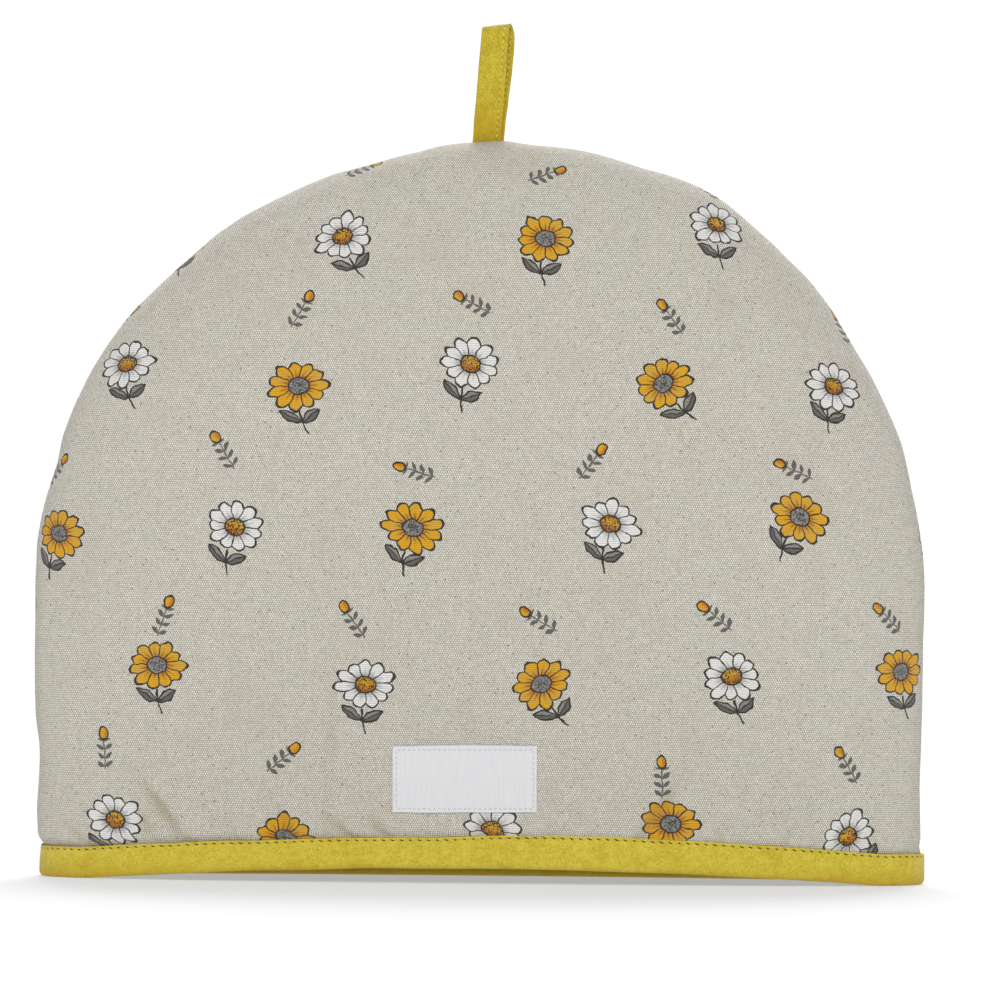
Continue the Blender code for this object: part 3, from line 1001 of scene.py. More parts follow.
@dataclass(frozen=True)
class Repeat:
    """How a motif is repeated over the cloth: rows that each slide on a little, with each motif strewn off
    its place by chance.
    """

    pitch: float  # millimetres, as are the sizes below
    rise: float
    slide: float
    start_u: float
    start_v: float
    stray: float
    turn: float  # degrees
    seed: float

    def local(self, graph: Graph, u: Signal, v: Signal) -> tuple[Signal, Signal, Signal, Signal]:
        """Find the place in the nearest motif.

        Args:
            graph: The material's graph.
            u: Place across the cloth, in millimetres.
            v: Place up the cloth, in millimetres.

        Returns:
            The place across and up the motif, a chance from 0 to 1 for each motif, and 1 for every other one.
        """
        v = v + self.start_v
        row = (v / self.rise).floor()
        slid = u + self.start_u - row * self.slide
        column = (slid / self.pitch).floor()
        chances = graph.chance(graph.point(column, row, self.seed))
        x = slid - (column + 0.5) * self.pitch - (chances[0] - 0.5) * self.stray
        y = v - (row + 0.5) * self.rise - (chances[1] - 0.5) * self.stray
        turn = (chances[2] - 0.5) * math.radians(2 * self.turn)
        x, y = graph.spin(x, y, turn)
        half = (column + row) * 0.5
        return x, y, chances[0], (half - half.floor()) * 2.0


@dataclass(frozen=True)
class Inks:
    """The colours of the flower print."""

    line: Colour = seen(46, 43, 42)
    coal: Colour = seen(74, 72, 72)
    white: Colour = seen(238, 237, 234)
    shadow: Colour = seen(150, 148, 145)
    ochre: Colour = seen(226, 170, 36)
    amber: Colour = seen(204, 126, 20)
    leaf: Colour = seen(104, 102, 98)
    light_leaf: Colour = seen(150, 148, 141)


@dataclass(frozen=True)
class Flower:
    """A hand-drawn flower on a short stem with two leaves, in millimetres: white or ochre by turns."""

    inks: Inks = Inks()
    petals: int = 11
    head_y: float = 4.6
    squash: float = 1.22
    petal_length: float = 11.2
    petal_middle: float = 6.8
    petal_half_width: float = 2.95
    eye: float = 3.9

    def draw(self, graph: Graph, place: tuple[Signal, Signal, Signal, Signal], under: Signal) -> Signal:
        """Lay the flower over a colour.

        Args:
            graph: The material's graph.
            place: The place across and up the motif, its chance, and 1 where the flower is ochre.
            under: The colour of the cloth.

        Returns:
            The colour with the flower on it.
        """
        x, y, chance, is_ochre = place
        inks = self.inks
        grain = graph.mottle(graph.point(x, y, chance * 9.0), 1.9, 2.0)
        rough = (grain - 0.5) * 0.22
        colour = self.draw_stem(graph, x, y, rough, under)

        up = (y - self.head_y) * self.squash
        radius = graph.math("SQRT", x * x + up * up)
        turns = graph.math("ARCTAN2", up, x) * (self.petals / (2 * math.pi))
        petal = turns.nearest()
        aside = abs(turns - petal) * radius * (2 * math.pi / self.petals)
        length = graph.chance(graph.point(petal, chance * 31.0))[0] * 2.4 + (self.petal_length - 1.2)
        out = (radius - self.petal_middle) / (length - self.petal_middle)
        wide = aside / self.petal_half_width
        oval = 1.0 - out * out - wide * wide
        inside = oval.step(-0.03, 0.05)
        notch = radius * (math.pi / self.petals) - aside
        strokes = (turns * (4 * math.pi) + 1.3).sine().step(0.1, 0.9)
        hatch = strokes * (radius + grain * 3.0).step(10.2, 5.6)
        base = (radius + grain * 2.0).step(8.2, 4.4)
        white = graph.tint((hatch * 0.8).most(base * 0.75), inks.white, inks.shadow)
        ochre = graph.tint(base, inks.ochre, inks.amber)
        ochre = graph.tint(hatch * 0.75, ochre, inks.line)
        colour = graph.tint(inside, colour, graph.tint(is_ochre, white, ochre))
        between = (notch + rough).step(0.34, 0.14) * inside
        outline = (abs(oval) + rough).step(0.28, 0.14) * radius.step(self.eye, self.eye + 0.5)
        colour = graph.tint(between.most(outline), colour, inks.line)

        eye = radius.step(self.eye + 0.1, self.eye - 0.1)
        light_eye = graph.tint(up.step(1.6, -2.2), inks.ochre, inks.amber)
        speck = (grain + radius * 0.03).step(0.56, 0.60)
        light_eye = graph.tint(speck, light_eye, inks.line)
        dark_eye = graph.tint((grain - radius * 0.03).step(0.46, 0.42), inks.coal, inks.shadow)
        colour = graph.tint(eye, colour, graph.tint(is_ochre, light_eye, dark_eye))
        ring = (abs(radius - self.eye) + rough).step(0.46, 0.20)
        return graph.tint(ring, colour, inks.line)

    def draw_stem(self, graph: Graph, x: Signal, y: Signal, rough: Signal, under: Signal) -> Signal:
        """Lay the stem and its two leaves over a colour.

        Args:
            graph: The material's graph.
            x: Place across the motif.
            y: Place up the motif.
            rough: Unevenness of the pen's line.
            under: The colour of the cloth.

        Returns:
            The colour with the stem and leaves on it.
        """
        inks = self.inks
        beside = x - (y + 3.5) * (y + 3.5) * 0.028
        fold = abs(beside)
        stem = (fold + rough).step(0.52, 0.26) * y.step(-14.2, -13.6) * y.step(-4.0, -5.0)
        low = y + 9.4
        along = fold * 0.85 + low * 0.53 - 4.6
        off = low * 0.85 - fold * 0.53
        leaf = 1.0 - (along / 4.5) * (along / 4.5) - abs(off) / 1.8
        strokes = (along * 5.2 + off * 2.0).sine().step(0.2, 0.9) * 0.5
        tone = off.step(0.9, -0.3).most(strokes)
        colour = graph.tint(leaf.step(-0.02, 0.06), under, graph.tint(tone, inks.light_leaf, inks.leaf))
        vein = (abs(off) + rough).step(0.32, 0.12) * leaf.step(0.05, 0.15)
        rim = (abs(leaf) + rough * 0.6).step(0.24, 0.12)
        return graph.tint(vein.most(rim).most(stem), colour, inks.line)


@dataclass(frozen=True)
class Sprig:
    """A small sprig of grey leaves with one bud, in millimetres."""

    inks: Inks = Inks()
    leaf_rise: float = 3.3

    def draw(self, graph: Graph, x: Signal, y: Signal, under: Signal) -> Signal:
        """Lay the sprig over a colour.

        Args:
            graph: The material's graph.
            x: Place across the motif.
            y: Place up the motif.
            under: The colour of the cloth.

        Returns:
            The colour with the sprig on it.
        """
        inks = self.inks
        stretch = y.step(-7.2, -6.8) * y.step(5.2, 4.8)
        stem = abs(x).step(0.38, 0.18) * stretch
        low = y - (y / self.leaf_rise).floor() * self.leaf_rise - 0.55
        aside = abs(x)
        along = aside * 0.82 + low * 0.57 - 2.05
        off = low * 0.82 - aside * 0.57
        leaf = 1.0 - (along / 1.95) * (along / 1.95) - abs(off) / 0.85
        green = (leaf.step(-0.05, 0.12) * stretch).most(stem)
        colour = graph.tint(green, under, inks.leaf)
        rise = y - 6.9
        bud = 1.0 - (x / 1.75) * (x / 1.75) - (rise / 2.3) * (rise / 2.3)
        bloom = graph.tint(x.step(-0.6, 1.0), inks.ochre, inks.amber)
        colour = graph.tint(bud.step(-0.03, 0.05), colour, bloom)
        return graph.tint(abs(bud).step(0.42, 0.24), colour, inks.line)


@dataclass(frozen=True)
class PrintedCanvas:
    """Oatmeal cotton canvas with strewn flowers and sprigs, whose ink breaks over the weave."""

    name: str = "printed_canvas"
    light: Colour = seen(242, 239, 228)
    dark: Colour = seen(170, 163, 147)
    fleck: Colour = seen(112, 106, 95)
    warm: Colour = seen(206, 190, 172)
    # Brown of the painted shade: the shadow and yellow bounce light over the tape, and the shade in the
    # creases.
    painted_shade: Colour = seen(150, 118, 62)
    weave: Weave = Weave(warp_pitch=0.43, weft_pitch=0.82, wander=0.9, weft_light=0.70, streak=0.38)
    flowers: Repeat = Repeat(71.0, 58.0, 23.7, 37.0, 14.0, 11.0, 42.0, 2.0)
    sprigs: Repeat = Repeat(71.0, 58.0, 23.7, -10.3, 43.0, 9.0, 75.0, 5.0)
    flecks: Repeat = Repeat(3.1, 2.7, 1.1, 0.0, 0.0, 2.4, 80.0, 8.0)
    roughness: float = 0.93

    def material(self) -> bpy.types.Material:
        """Build the material and give it back."""
        graph = Graph(self.name, self.roughness, sheen=0.12, specular=0.2)
        u, v = graph.cloth_place()
        relief, tone = self.weave.draw(graph, u, v)
        canvas = graph.tint(tone, self.dark, self.light)
        blotch = graph.mottle(graph.point(u, v, 2.0), 0.028, 2.0)
        canvas = graph.tint(blotch.step(0.50, 0.72) * 0.22, canvas, self.warm)
        x, y, chance, _ = self.flecks.local(graph, u, v)
        mote = ((x / 0.40) * (x / 0.40) + (y / 0.19) * (y / 0.19)).step(1.4, 0.6)
        canvas = graph.tint(mote * chance.step(0.84, 0.86) * 0.85, canvas, self.fleck)
        # Painted shadow and yellow bounce light from the tape, in a thin band just above it.
        canvas = graph.tint(graph.marked("tape_shadow") * 0.8, canvas, self.painted_shade)

        sway = graph.waver(graph.point(u, v, 4.0), 0.42)
        u, v = u + (sway[0] - 0.5) * 1.1, v + (sway[1] - 0.5) * 1.1
        printed = Sprig().draw(graph, *self.sprigs.local(graph, u, v)[:2], canvas)
        printed = Flower().draw(graph, self.flowers.local(graph, u, v), printed)
        cover = relief.step(0.02, 0.42) * 0.18 + 0.82
        colour = graph.tint(cover, canvas, printed)
        # Painted shade in the bottoms of the creases.
        colour = graph.tint(graph.marked("crease_shade") * 0.34, colour, self.painted_shade)
        # Painted shade in the hollows between the threads.
        colour = graph.shade(colour, relief * 0.68 + 0.615)
        return graph.finish(colour, relief, 0.22 * MM, 0.85)


@dataclass(frozen=True)
class PlainCotton:
    """The unprinted cotton on the inside of the padded walls."""

    name: str = "plain_cotton"
    light: Colour = seen(214, 211, 201)
    dark: Colour = seen(186, 182, 170)
    weave: Weave = Weave(warp_pitch=0.6, weft_pitch=0.7, wander=0.7, weft_light=0.5, streak=0.6)
    roughness: float = 0.94

    def material(self) -> bpy.types.Material:
        """Build the material and give it back."""
        graph = Graph(self.name, self.roughness, sheen=0.1, specular=0.2)
        relief, tone = self.weave.draw(graph, *graph.cloth_place())
        colour = graph.tint(tone, self.dark, self.light)
        # Painted shade in the hollows between the threads.
        return graph.finish(graph.shade(colour, relief * 0.25 + 0.82), relief, 0.15 * MM, 0.7)


@dataclass(frozen=True)
class CottonTape:
    """Mustard cotton tape: a fine weave, a faint mottle, and dark needle holes along its stitching."""

    name: str = "mustard_tape"
    light: Colour = seen(230, 212, 82)
    dark: Colour = seen(190, 168, 34)
    # Warm tone of the mottle, and of the painted shade towards the lower end.
    warm: Colour = seen(188, 150, 22)
    stitch_pitch: float = 3.0  # millimetres, as are the lines of stitching
    stitch_lines: tuple[float, ...] = ()
    # Painted shade in the needle holes.
    hole: Colour = seen(84, 66, 12)
    hole_shade: float = 0.95
    hole_length: float = 1.5
    hole_height: float = 0.62
    # Heights in millimetres from where the painted shade starts to where it is full.
    shade_heights: tuple[float, float] = (9.0, 0.0)
    weave: Weave = Weave(warp_pitch=0.42, weft_pitch=0.42, wander=0.5, weft_light=0.6, streak=1.0)
    roughness: float = 0.86

    def sewn(self, pitch: float, lines: tuple[float, ...]) -> "CottonTape":
        """The same tape with its stitching at a pitch and along lines across it, both in millimetres."""
        return replace(self, stitch_pitch=pitch, stitch_lines=lines)

    def holes(self, graph: Graph, u: Signal, v: Signal) -> Signal:
        """Mark the needle holes, whose shade is painted.

        Args:
            graph: The material's graph.
            u: Place along the tape, in millimetres.
            v: Place across the tape, in millimetres.

        Returns:
            How much painted shade of a hole there is, from 0 to 1.
        """
        turns = u / self.stitch_pitch
        nearest = turns.nearest()
        aside = (turns - nearest) * self.stitch_pitch
        size = graph.chance(graph.point(nearest, 5.0))[0] * 0.5 + 0.75
        along = aside / (size * (self.hole_length / 2))
        total = size * 0.0
        for line in self.stitch_lines:
            off = (v - aside * 0.28 - line) / (self.hole_height / 2)
            total = total + (along * along + off * off).step(1.5, 0.5)
        return total

    def material(self) -> bpy.types.Material:
        """Build the material and give it back."""
        graph = Graph(self.name, self.roughness, sheen=0.15, specular=0.25)
        u, v = graph.cloth_place()
        relief, tone = self.weave.draw(graph, u, v)
        colour = graph.tint(tone, self.dark, self.light)
        blotch = graph.mottle(graph.point(u, v, 2.0), 0.09, 2.0)
        colour = graph.tint(blotch.step(0.46, 0.70) * 0.3, colour, self.warm)
        patch = graph.mottle(graph.point(u * 0.8, v, 8.0), 0.42, 3.0)
        colour = graph.tint(patch.step(0.44, 0.66) * 0.45, colour, self.light)
        rubbed = graph.mottle(graph.point(u + v, u - v, 3.0), 1.3, 2.0)
        colour = graph.tint(rubbed.step(0.50, 0.68) * 0.45, colour, self.dark)
        # Painted shade: darker and warmer towards the tape's lower end.
        low = graph.height().step(*self.shade_heights)
        colour = graph.tint(low * 0.5, colour, self.warm)
        # Painted shade in the needle holes.
        colour = graph.tint(self.holes(graph, u, v) * self.hole_shade, colour, self.hole)
        # Painted shade in the hollows between the threads.
        return graph.finish(graph.shade(colour, relief * 0.25 + 0.84), relief, 0.09 * MM, 0.7)


@dataclass(frozen=True)
class RibbedRibbon:
    """White woven ribbon with fine upright ribs."""

    name: str = "white_ribbon"
    light: Colour = seen(229, 228, 230)
    dark: Colour = seen(219, 218, 221)
    rib_pitch: float = 0.78
    pick_pitch: float = 0.42
    roughness: float = 0.78

    def material(self) -> bpy.types.Material:
        """Build the material and give it back."""
        graph = Graph(self.name, self.roughness, sheen=0.1, specular=0.35)
        u, v = graph.cloth_place()
        rib = (u * (2 * math.pi / self.rib_pitch)).sine() * 0.5 + 0.5
        pick = (v * (2 * math.pi / self.pick_pitch)).sine() * 0.5 + 0.5
        uneven = graph.mottle(graph.point(u * 1.3, v * 0.08), 1.0)
        relief = rib * (pick * 0.35 + 0.65)
        # Painted shade between the ribs, on an uneven tone.
        tone = relief * 0.30 + uneven * 0.5
        colour = graph.tint(tone.step(0.10, 0.65), self.dark, self.light)
        return graph.finish(colour, relief, 0.07 * MM, 0.7)


@dataclass(frozen=True)
class SewingThread:
    """Twisted sewing thread."""

    name: str
    light: Colour
    dark: Colour
    twist_pitch: float = 0.55
    roughness: float = 0.7

    def material(self) -> bpy.types.Material:
        """Build the material and give it back."""
        graph = Graph(self.name, self.roughness, sheen=0.2, specular=0.35)
        u, v = graph.cloth_place()
        turn = u * (2 * math.pi / self.twist_pitch) + v * (2 * math.pi)
        strand = turn.sine() * 0.5 + 0.5
        # Painted shade in the grooves of the twist.
        colour = graph.tint(strand, self.dark, self.light)
        return graph.finish(colour, strand, 0.05 * MM, 0.8)


@dataclass(frozen=True)
class StitchRow:
    """A row of machine stitches: one thread that dips into a hole between each two stitches."""

    thread: float = 0.42 * MM
    arch: float = 0.16 * MM
    dive: float = 0.30 * MM
    overlap: float = 0.68

    def template(self) -> tuple[Array, list[tuple[int, ...]]]:
        """Model one stitch, a short round-ended thread along X.

        Returns:
            Its points, from -1 to 1 along X and with a radius of 1, and its faces.
        """
        bpy.ops.object.select_all(action="DESELECT")
        bpy.ops.mesh.primitive_uv_sphere_add(segments=8, ring_count=8, radius=1.0)
        stitch = bpy.context.object
        bpy.ops.object.mode_set(mode="EDIT")
        bpy.ops.mesh.select_all(action="SELECT")
        middle = {"center_override": (0.0, 0.0, 0.0)}
        bpy.ops.transform.rotate(value=math.pi / 2, orient_axis="Y", **middle)
        bpy.ops.object.mode_set(mode="OBJECT")
        points = np.array([vertex.co for vertex in stitch.data.vertices])
        faces = [tuple(polygon.vertices) for polygon in stitch.data.polygons]
        bpy.data.objects.remove(stitch, do_unlink=True)
        return points, faces

    @staticmethod
    def run(place: Callable[[float], Array], out: float, way: float = 1.0) -> Run:
        """The row of holes at a distance out on a piece, where 1 or -1 is the way out of its cloth."""
        holes = place(out)
        return holes, (place(out + way * 1.0 * MM) - holes) / (1.0 * MM)

    def sew(self, name: str, slot: str, runs: list[Run], finish: SewingThread) -> bpy.types.Object:
        """Sew rows of stitches as one piece.

        Args:
            name: Name of the piece.
            slot: The material slot of the cloth, which is not used.
            runs: The rows.
            finish: The thread.

        Returns:
            The joined stitches.
        """
        points, faces = self.template()
        full = np.sign(points[:, 0]) * np.abs(points[:, 0]) ** 0.7
        places, corners, flat = [], [], []
        for holes, outwards in runs:
            for start, end, out_start, out_end in zip(holes[:-1], holes[1:], outwards[:-1], outwards[1:]):
                along = end - start
                length = np.linalg.norm(along)
                out = out_start + out_end
                out = out - along * (out @ along) / length**2
                out = out / np.linalg.norm(out)
                aside = np.cross(out, along / length)
                lift = self.arch - (self.arch + self.dive) * points[:, 0] ** 6
                place = (start + end) / 2 + np.outer(points[:, 0] * self.overlap / 2, along)
                place = place + np.outer(lift + points[:, 2] * self.thread / 2, out)
                place = place + np.outer(points[:, 1] * self.thread / 2, aside)
                first = len(places) * len(points)
                corners.extend(tuple(first + corner for corner in face) for face in faces)
                places.append(place)
                around = np.arctan2(points[:, 2], points[:, 1]) / (2 * math.pi)
                flat.append(np.stack([full * length / 2, np.abs(around)], axis=1))
        mesh = bpy.data.meshes.new(name)
        mesh.from_pydata(np.concatenate(places).tolist(), [], corners)
        stitches = bpy.data.objects.new(name, mesh)
        bpy.context.scene.collection.objects.link(stitches)
        lay_flat(mesh, np.concatenate(flat))
        mesh.materials.append(finish.material())
        mesh.shade_smooth()
        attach(stitches, "root")
        LOG.info("%s: %d stitches", name, sum(len(holes) - 1 for holes, _ in runs))
        return stitches


@dataclass
class PaddedPanel:
    """One padded, printed panel: an outer face, an inner face, and the seam face that joins them."""

    name: str
    form: CosyForm
    facing: Facing
    outer: bpy.types.Material
    inner: bpy.types.Material
    columns: int = 300
    rows: int = 162
    print_shift: tuple[float, float] = (0.0, 0.0)
    tape_edge: float = 11.7 * MM
    # Crease depth at which the painted crease shade is full.
    full_crease: float = 1.0 * MM
    slack: float = 0.004
    held_hem: tuple[float, float] = (15.0 * MM, 24.0 * MM)
    held_seam: tuple[float, float] = (0.975, 0.995)
    label_middle: tuple[float, float] = (-6.1 * MM, 39.5 * MM)
    label_reach: tuple[float, float] = (29.0 * MM, 14.0 * MM)
    label_fade: float = 9.0 * MM
    # How the painted shadow above the tape fades upwards, and the size of its patches.
    shade_fade: float = 0.9 * MM
    shade_patch: float = 11.0 * MM

    def stations(self) -> Array:
        """Shares across the mouth of the columns, closer at the seams and where the creases are."""
        share = 1.0 - np.linspace(1.0, 0.0, 500) ** 4
        depth = np.full_like(share, self.form.full_depth(self.form.shoulder_z / 2))
        length = self.form.developed(share, np.full_like(share, self.form.half_width), depth)
        half = self.columns // 2
        reach = length[-1]
        wishes = np.array([0.25, 0.5, 1.2, 1.9, 0.85, 0.85, 1.9, 1.9, 0.85, 0.85, 1.8, 0.9]) * MM
        seam_at = np.array([0.0, 2.0, 10.0]) * MM
        creases_at = reach - np.array([135.0, 130.0, 109.0, 104.0, 80.0, 75.0, 29.0, 20.0, 0.0]) * MM
        from_seam = graded(half, reach, wishes, np.concatenate([seam_at, creases_at]))
        right = np.interp(reach - from_seam, length, share)[::-1]
        return np.concatenate([-right[::-1], right[1:]])

    def climbs(self) -> Array:
        """Lengths up the side edge of the rows, closer at the hem and at the top seam."""
        form = self.form
        share = 1.0 - np.linspace(1.0, 0.0, 500) ** 4
        depth = np.full_like(share, form.full_depth(form.top_z))
        over_dome = form.developed(share, np.full_like(share, form.dome_rise), depth)
        low = form.shoulder_z - form.panel_foot
        places = np.concatenate([[0.0], low + over_dome])
        heights = np.concatenate([[0.0], low + share * form.dome_rise])
        reach = places[-1]
        wishes = np.array([1.6, 0.6, 0.5, 0.9, 1.4, 1.9, 1.9, 1.2, 0.5, 0.25]) * MM
        wished_at = np.array([0.0, 9.0, 18.0, 30.0, 50.0, 80.0, 0.0, 0.0, 0.0, 0.0]) * MM
        wished_at[6:] = reach - np.array([60.0, 12.0, 2.0, 0.0]) * MM
        up = np.interp(graded(self.rows, reach, wishes, wished_at), places, heights)
        return up / heights[-1] * form.edge_climb()

    def build(self) -> bpy.types.Object:
        """Build the panel in the place of its solid.

        Returns:
            The padded panel.
        """
        form = self.form
        cloth = ClothGrid(self.name, self.columns, self.rows)
        cloth.draw_back()
        across = self.stations()[cloth.column]
        climb = self.climbs()[cloth.row]
        nothing = np.zeros_like(across)
        true_x, true_z = form.panel_point(across, climb, nothing, self.facing)
        height = true_z - form.hem_lift(true_x, self.facing)
        share = form.edge_share(true_x, true_z)
        inset = np.where(
            cloth.is_inner,
            form.nip_at(height, share) + form.wall_at(height),
            form.skin_inset(true_x, true_z, self.facing),
        )
        x, z = form.panel_point(across, climb, inset, self.facing)
        y = form.wall_y(x, z, inset, self.facing)
        points = np.stack([x + form.slide_at(height), y, z], axis=1)
        points += self.settle(cloth, points, height, share)
        cloth.place(points)
        # Where shadow and bounce light from the tape are painted on the canvas.
        cloth.mark("tape_shadow", self.painted_shade(true_x, height))
        # How deep each point lies in a crease, for the shade painted there.
        crease = form.crease_depth(true_x, true_z, self.facing) / self.full_crease
        cloth.mark("crease_shade", np.clip(crease, 0.0, 1.0))
        flat_u, flat_v, _ = form.flat_places(true_x, true_z)
        hand = -self.facing.value
        cloth.lay(flat_u * hand + self.print_shift[0], flat_v + self.print_shift[1])
        cloth.dress(self.outer, self.inner)
        self.line_inside(cloth)
        panel = cloth.join(self.name.replace("_cloth", ""))
        return panel

    def settle(self, cloth: ClothGrid, points: Array, height: Array, share: Array) -> Array:
        """Let the outer face settle between its seams, the hem and the label.

        Args:
            cloth: The panel's grid.
            points: Its points.
            height: Their heights over the hem.
            share: Their shares across the panel.

        Returns:
            How far each point moves, in rows of X, Y and Z; the inner face stays.
        """
        outer = ~cloth.is_inner
        place = cloth.row[outer], cloth.column[outer]
        grid = np.empty((self.rows + 1, self.columns + 1, 3))
        held = np.empty(grid.shape[:2])
        grid[place] = points[outer]
        by_hem = 1.0 - blend(height, *self.held_hem)
        by_seam = blend(share, *self.held_seam)
        off = (np.abs(points[:, ::2] - self.label_middle) - self.label_reach).max(axis=1)
        by_label = (1.0 - blend(off, 0.0, self.label_fade)) * (self.facing is Facing.FRONT)
        held[place] = np.maximum(np.maximum(by_hem, by_seam), by_label)[outer]
        moves = np.zeros_like(points)
        moves[outer] = Settling().puckers(grid, held, self.slack)[place]
        return moves

    def painted_shade(self, x: Array, height: Array) -> Array:
        """How much painted shadow and yellow bounce light from the tape the canvas gets, from 0 to 1."""
        rise = np.maximum(height - self.tape_edge, 0.0)
        patch = self.form.hem_noise.at(x / self.shade_patch + 7.0 * self.facing.value)
        return np.exp(-rise / self.shade_fade) * np.clip(0.65 + 0.6 * patch, 0.0, 1.0)

    def line_inside(self, cloth: ClothGrid) -> None:
        """Give the inner face its own cotton."""
        indices = [int(cloth.is_inner[list(polygon.vertices)].all()) for polygon in cloth.mesh.polygons]
        cloth.mesh.polygons.foreach_set("material_index", indices)


@dataclass
class HemBinding:
    """The mustard tape folded over the raw hem all round the mouth, with its edges turned under."""

    form: CosyForm
    tape: CottonTape
    height: float = 11.9 * MM
    ply: float = 0.4 * MM
    outside: float = 0.95 * MM
    inside: float = 6.3 * MM
    foot_radius: float = 1.9 * MM
    fold_radius: float = 0.26 * MM
    turned_under: float = 3.0 * MM
    stitch_drop: float = 1.0 * MM
    stitch_pitch: float = 3.4 * MM
    groove: float = 0.16 * MM
    groove_width: float = 0.62 * MM
    hole: float = 0.26 * MM
    hole_draw: float = 0.10 * MM
    sink: float = 0.08 * MM
    inner_pull: float = 0.8
    edge_wave: float = 0.22 * MM
    edge_wave_length: float = 17.0 * MM
    foot_wave: float = 0.35 * MM
    foot_wave_length: float = 24.0 * MM
    drag: float = 0.13 * MM
    drag_size: tuple[float, float] = (5.6 * MM, 9.0 * MM)
    drag_lean: float = 0.7
    drag_from: tuple[float, float] = (0.5 * MM, 4.0 * MM)
    slack: float = 0.18 * MM
    slack_at: tuple[float, float] = (5.5 * MM, 3.0 * MM)
    slack_length: float = 38.0 * MM
    steps_a_stitch: int = 3
    fold_points: int = 6
    heel_points: int = 5
    leg_points: int = 17
    inner_points: int = 11
    noise: Unevenness = field(default_factory=lambda: Unevenness(53))

    def section(self) -> Array:
        """The folded tape's middle line.

        Returns:
            Rows of inset from the skin and height over the hem, from one turned-under edge to the other.
        """
        top = self.height - self.ply / 2 - self.fold_radius
        foot = self.foot_radius + self.ply / 2
        fold = np.radians(np.linspace(0.0, 180.0, self.fold_points))
        heel = np.radians(np.linspace(180.0, 270.0, self.heel_points))
        fold_x, fold_z = self.fold_radius * np.cos(fold), top + self.fold_radius * np.sin(fold)
        heel_x, heel_z = self.foot_radius * (1.0 + np.cos(heel)), foot + self.foot_radius * np.sin(heel)
        outer_fold = self.outside + self.fold_radius + fold_x
        inner_fold = self.inside - self.fold_radius + fold_x
        outer_leg = np.linspace(top, foot, self.leg_points + 2)[1:-1]
        inner_leg = np.linspace(foot, top, self.inner_points)[1:-1]
        hidden = np.array([top - self.turned_under, top - self.turned_under / 2])
        runs = (
            (outer_fold[0], hidden),
            (outer_fold, fold_z),
            (self.outside, outer_leg),
            (self.outside + heel_x, heel_z),
            (self.inside - heel_x[::-1], heel_z[::-1]),
            (self.inside, inner_leg),
            (inner_fold, fold_z),
            (inner_fold[-1], hidden[::-1]),
        )
        return np.concatenate([np.stack(np.broadcast_arrays(*run), axis=1) for run in runs])

    def stitch_lines(self) -> tuple[float, float]:
        """Places of the outer and the inner stitching across the unfolded tape, in millimetres."""
        section = self.section()
        width = lengths_along(section) / MM
        is_outer_leg = slice(self.fold_points + 1, self.fold_points + 1 + self.leg_points)
        heights = section[is_outer_leg, 1]
        line = np.interp(self.stitch_drop - self.height, -heights, width[is_outer_leg])
        return float(line), float(width[-1] - line)

    def half_ring(self, facing: Facing) -> tuple[Array, float]:
        """Divide one half of the mouth into even stations, a few for each stitch.

        Args:
            facing: Which half.

        Returns:
            The share across the mouth at each station, from one side to the other, and the half's length.
        """
        share = np.sin(np.linspace(-math.pi / 2, math.pi / 2, 4001))
        side = np.where(share > 0.0, 1, -1)
        x = share * self.form.side_half_width(side, self.height / 2, self.outside)
        y = self.form.section_depth(np.abs(share), self.height / 2, self.outside)
        length = lengths_along(np.stack([x, y], axis=1))
        steps = round(length[-1] / self.stitch_pitch) * self.steps_a_stitch
        stations = np.interp(np.linspace(0.0, length[-1], steps + 1), length, share)
        return stations * -facing.value, length[-1]

    def ring(self) -> tuple[Array, Array, Array]:
        """Lay the stations all round the mouth.

        Returns:
            Each station's share across the mouth, the sign of its Y, and its length round the mouth.
        """
        front, front_length = self.half_ring(Facing.FRONT)
        back, back_length = self.half_ring(Facing.BACK)
        share = np.concatenate([front[:-1], back])
        sign = np.concatenate([np.full(len(front) - 1, -1), np.full(len(back), 1)])
        front_along = np.linspace(0.0, front_length, len(front))
        back_along = front_length + np.linspace(0.0, back_length, len(back))
        return share, sign, np.concatenate([front_along[:-1], back_along])

    def lift_at(self, share: Array, sign: Array) -> Array:
        """Height of the binding's underside at stations."""
        x = share * self.form.half_width
        front = self.form.hem_lift(x, Facing.FRONT)
        return np.where(sign < 0, front, self.form.hem_lift(x, Facing.BACK))

    def place(self, share: Array, sign: Array, inset: Array, height: Array) -> Array:
        """Put points on the ring.

        Args:
            share: Share across the mouth.
            sign: Sign of Y.
            inset: Distance in from the skin.
            height: Height over the hem.

        Returns:
            The points.
        """
        z = self.lift_at(share, sign) + height
        side = np.where(share > 0.0, 1, -1)
        x = share * self.form.side_half_width(side, z, inset) + self.form.slide_at(height)
        y = sign * self.form.section_depth(np.abs(share), z, inset)
        return np.stack([x, y, z], axis=-1)

    def drift(
        self, share: Array, sign: Array, along: Array, height: Array | float, inner: Array | float
    ) -> Array:
        """Work out how far the tape wanders up from true.

        Args:
            share: Share across the mouth.
            sign: Sign of Y.
            along: Length round the mouth.
            height: Height over the hem.
            inner: 0 on the tape's outer leg and 1 on its inner leg.

        Returns:
            The distance up.
        """
        x = share * self.form.half_width
        top = blend(height, self.height * 0.5, self.height)
        edge = self.edge_wave * self.noise.at(along / self.edge_wave_length, inner * 3.0)
        deeper = sum(row.over(x / MM) for row in DEEPENINGS) * MM
        off_floor = blend(self.lift_at(share, sign), 0.0, 1.5 * MM)
        foot = self.foot_wave * (0.5 + 0.5 * self.noise.at(along / self.foot_wave_length + 30.0)) * off_floor
        return (edge + deeper * (sign < 0)) * top + foot * (1.0 - top)

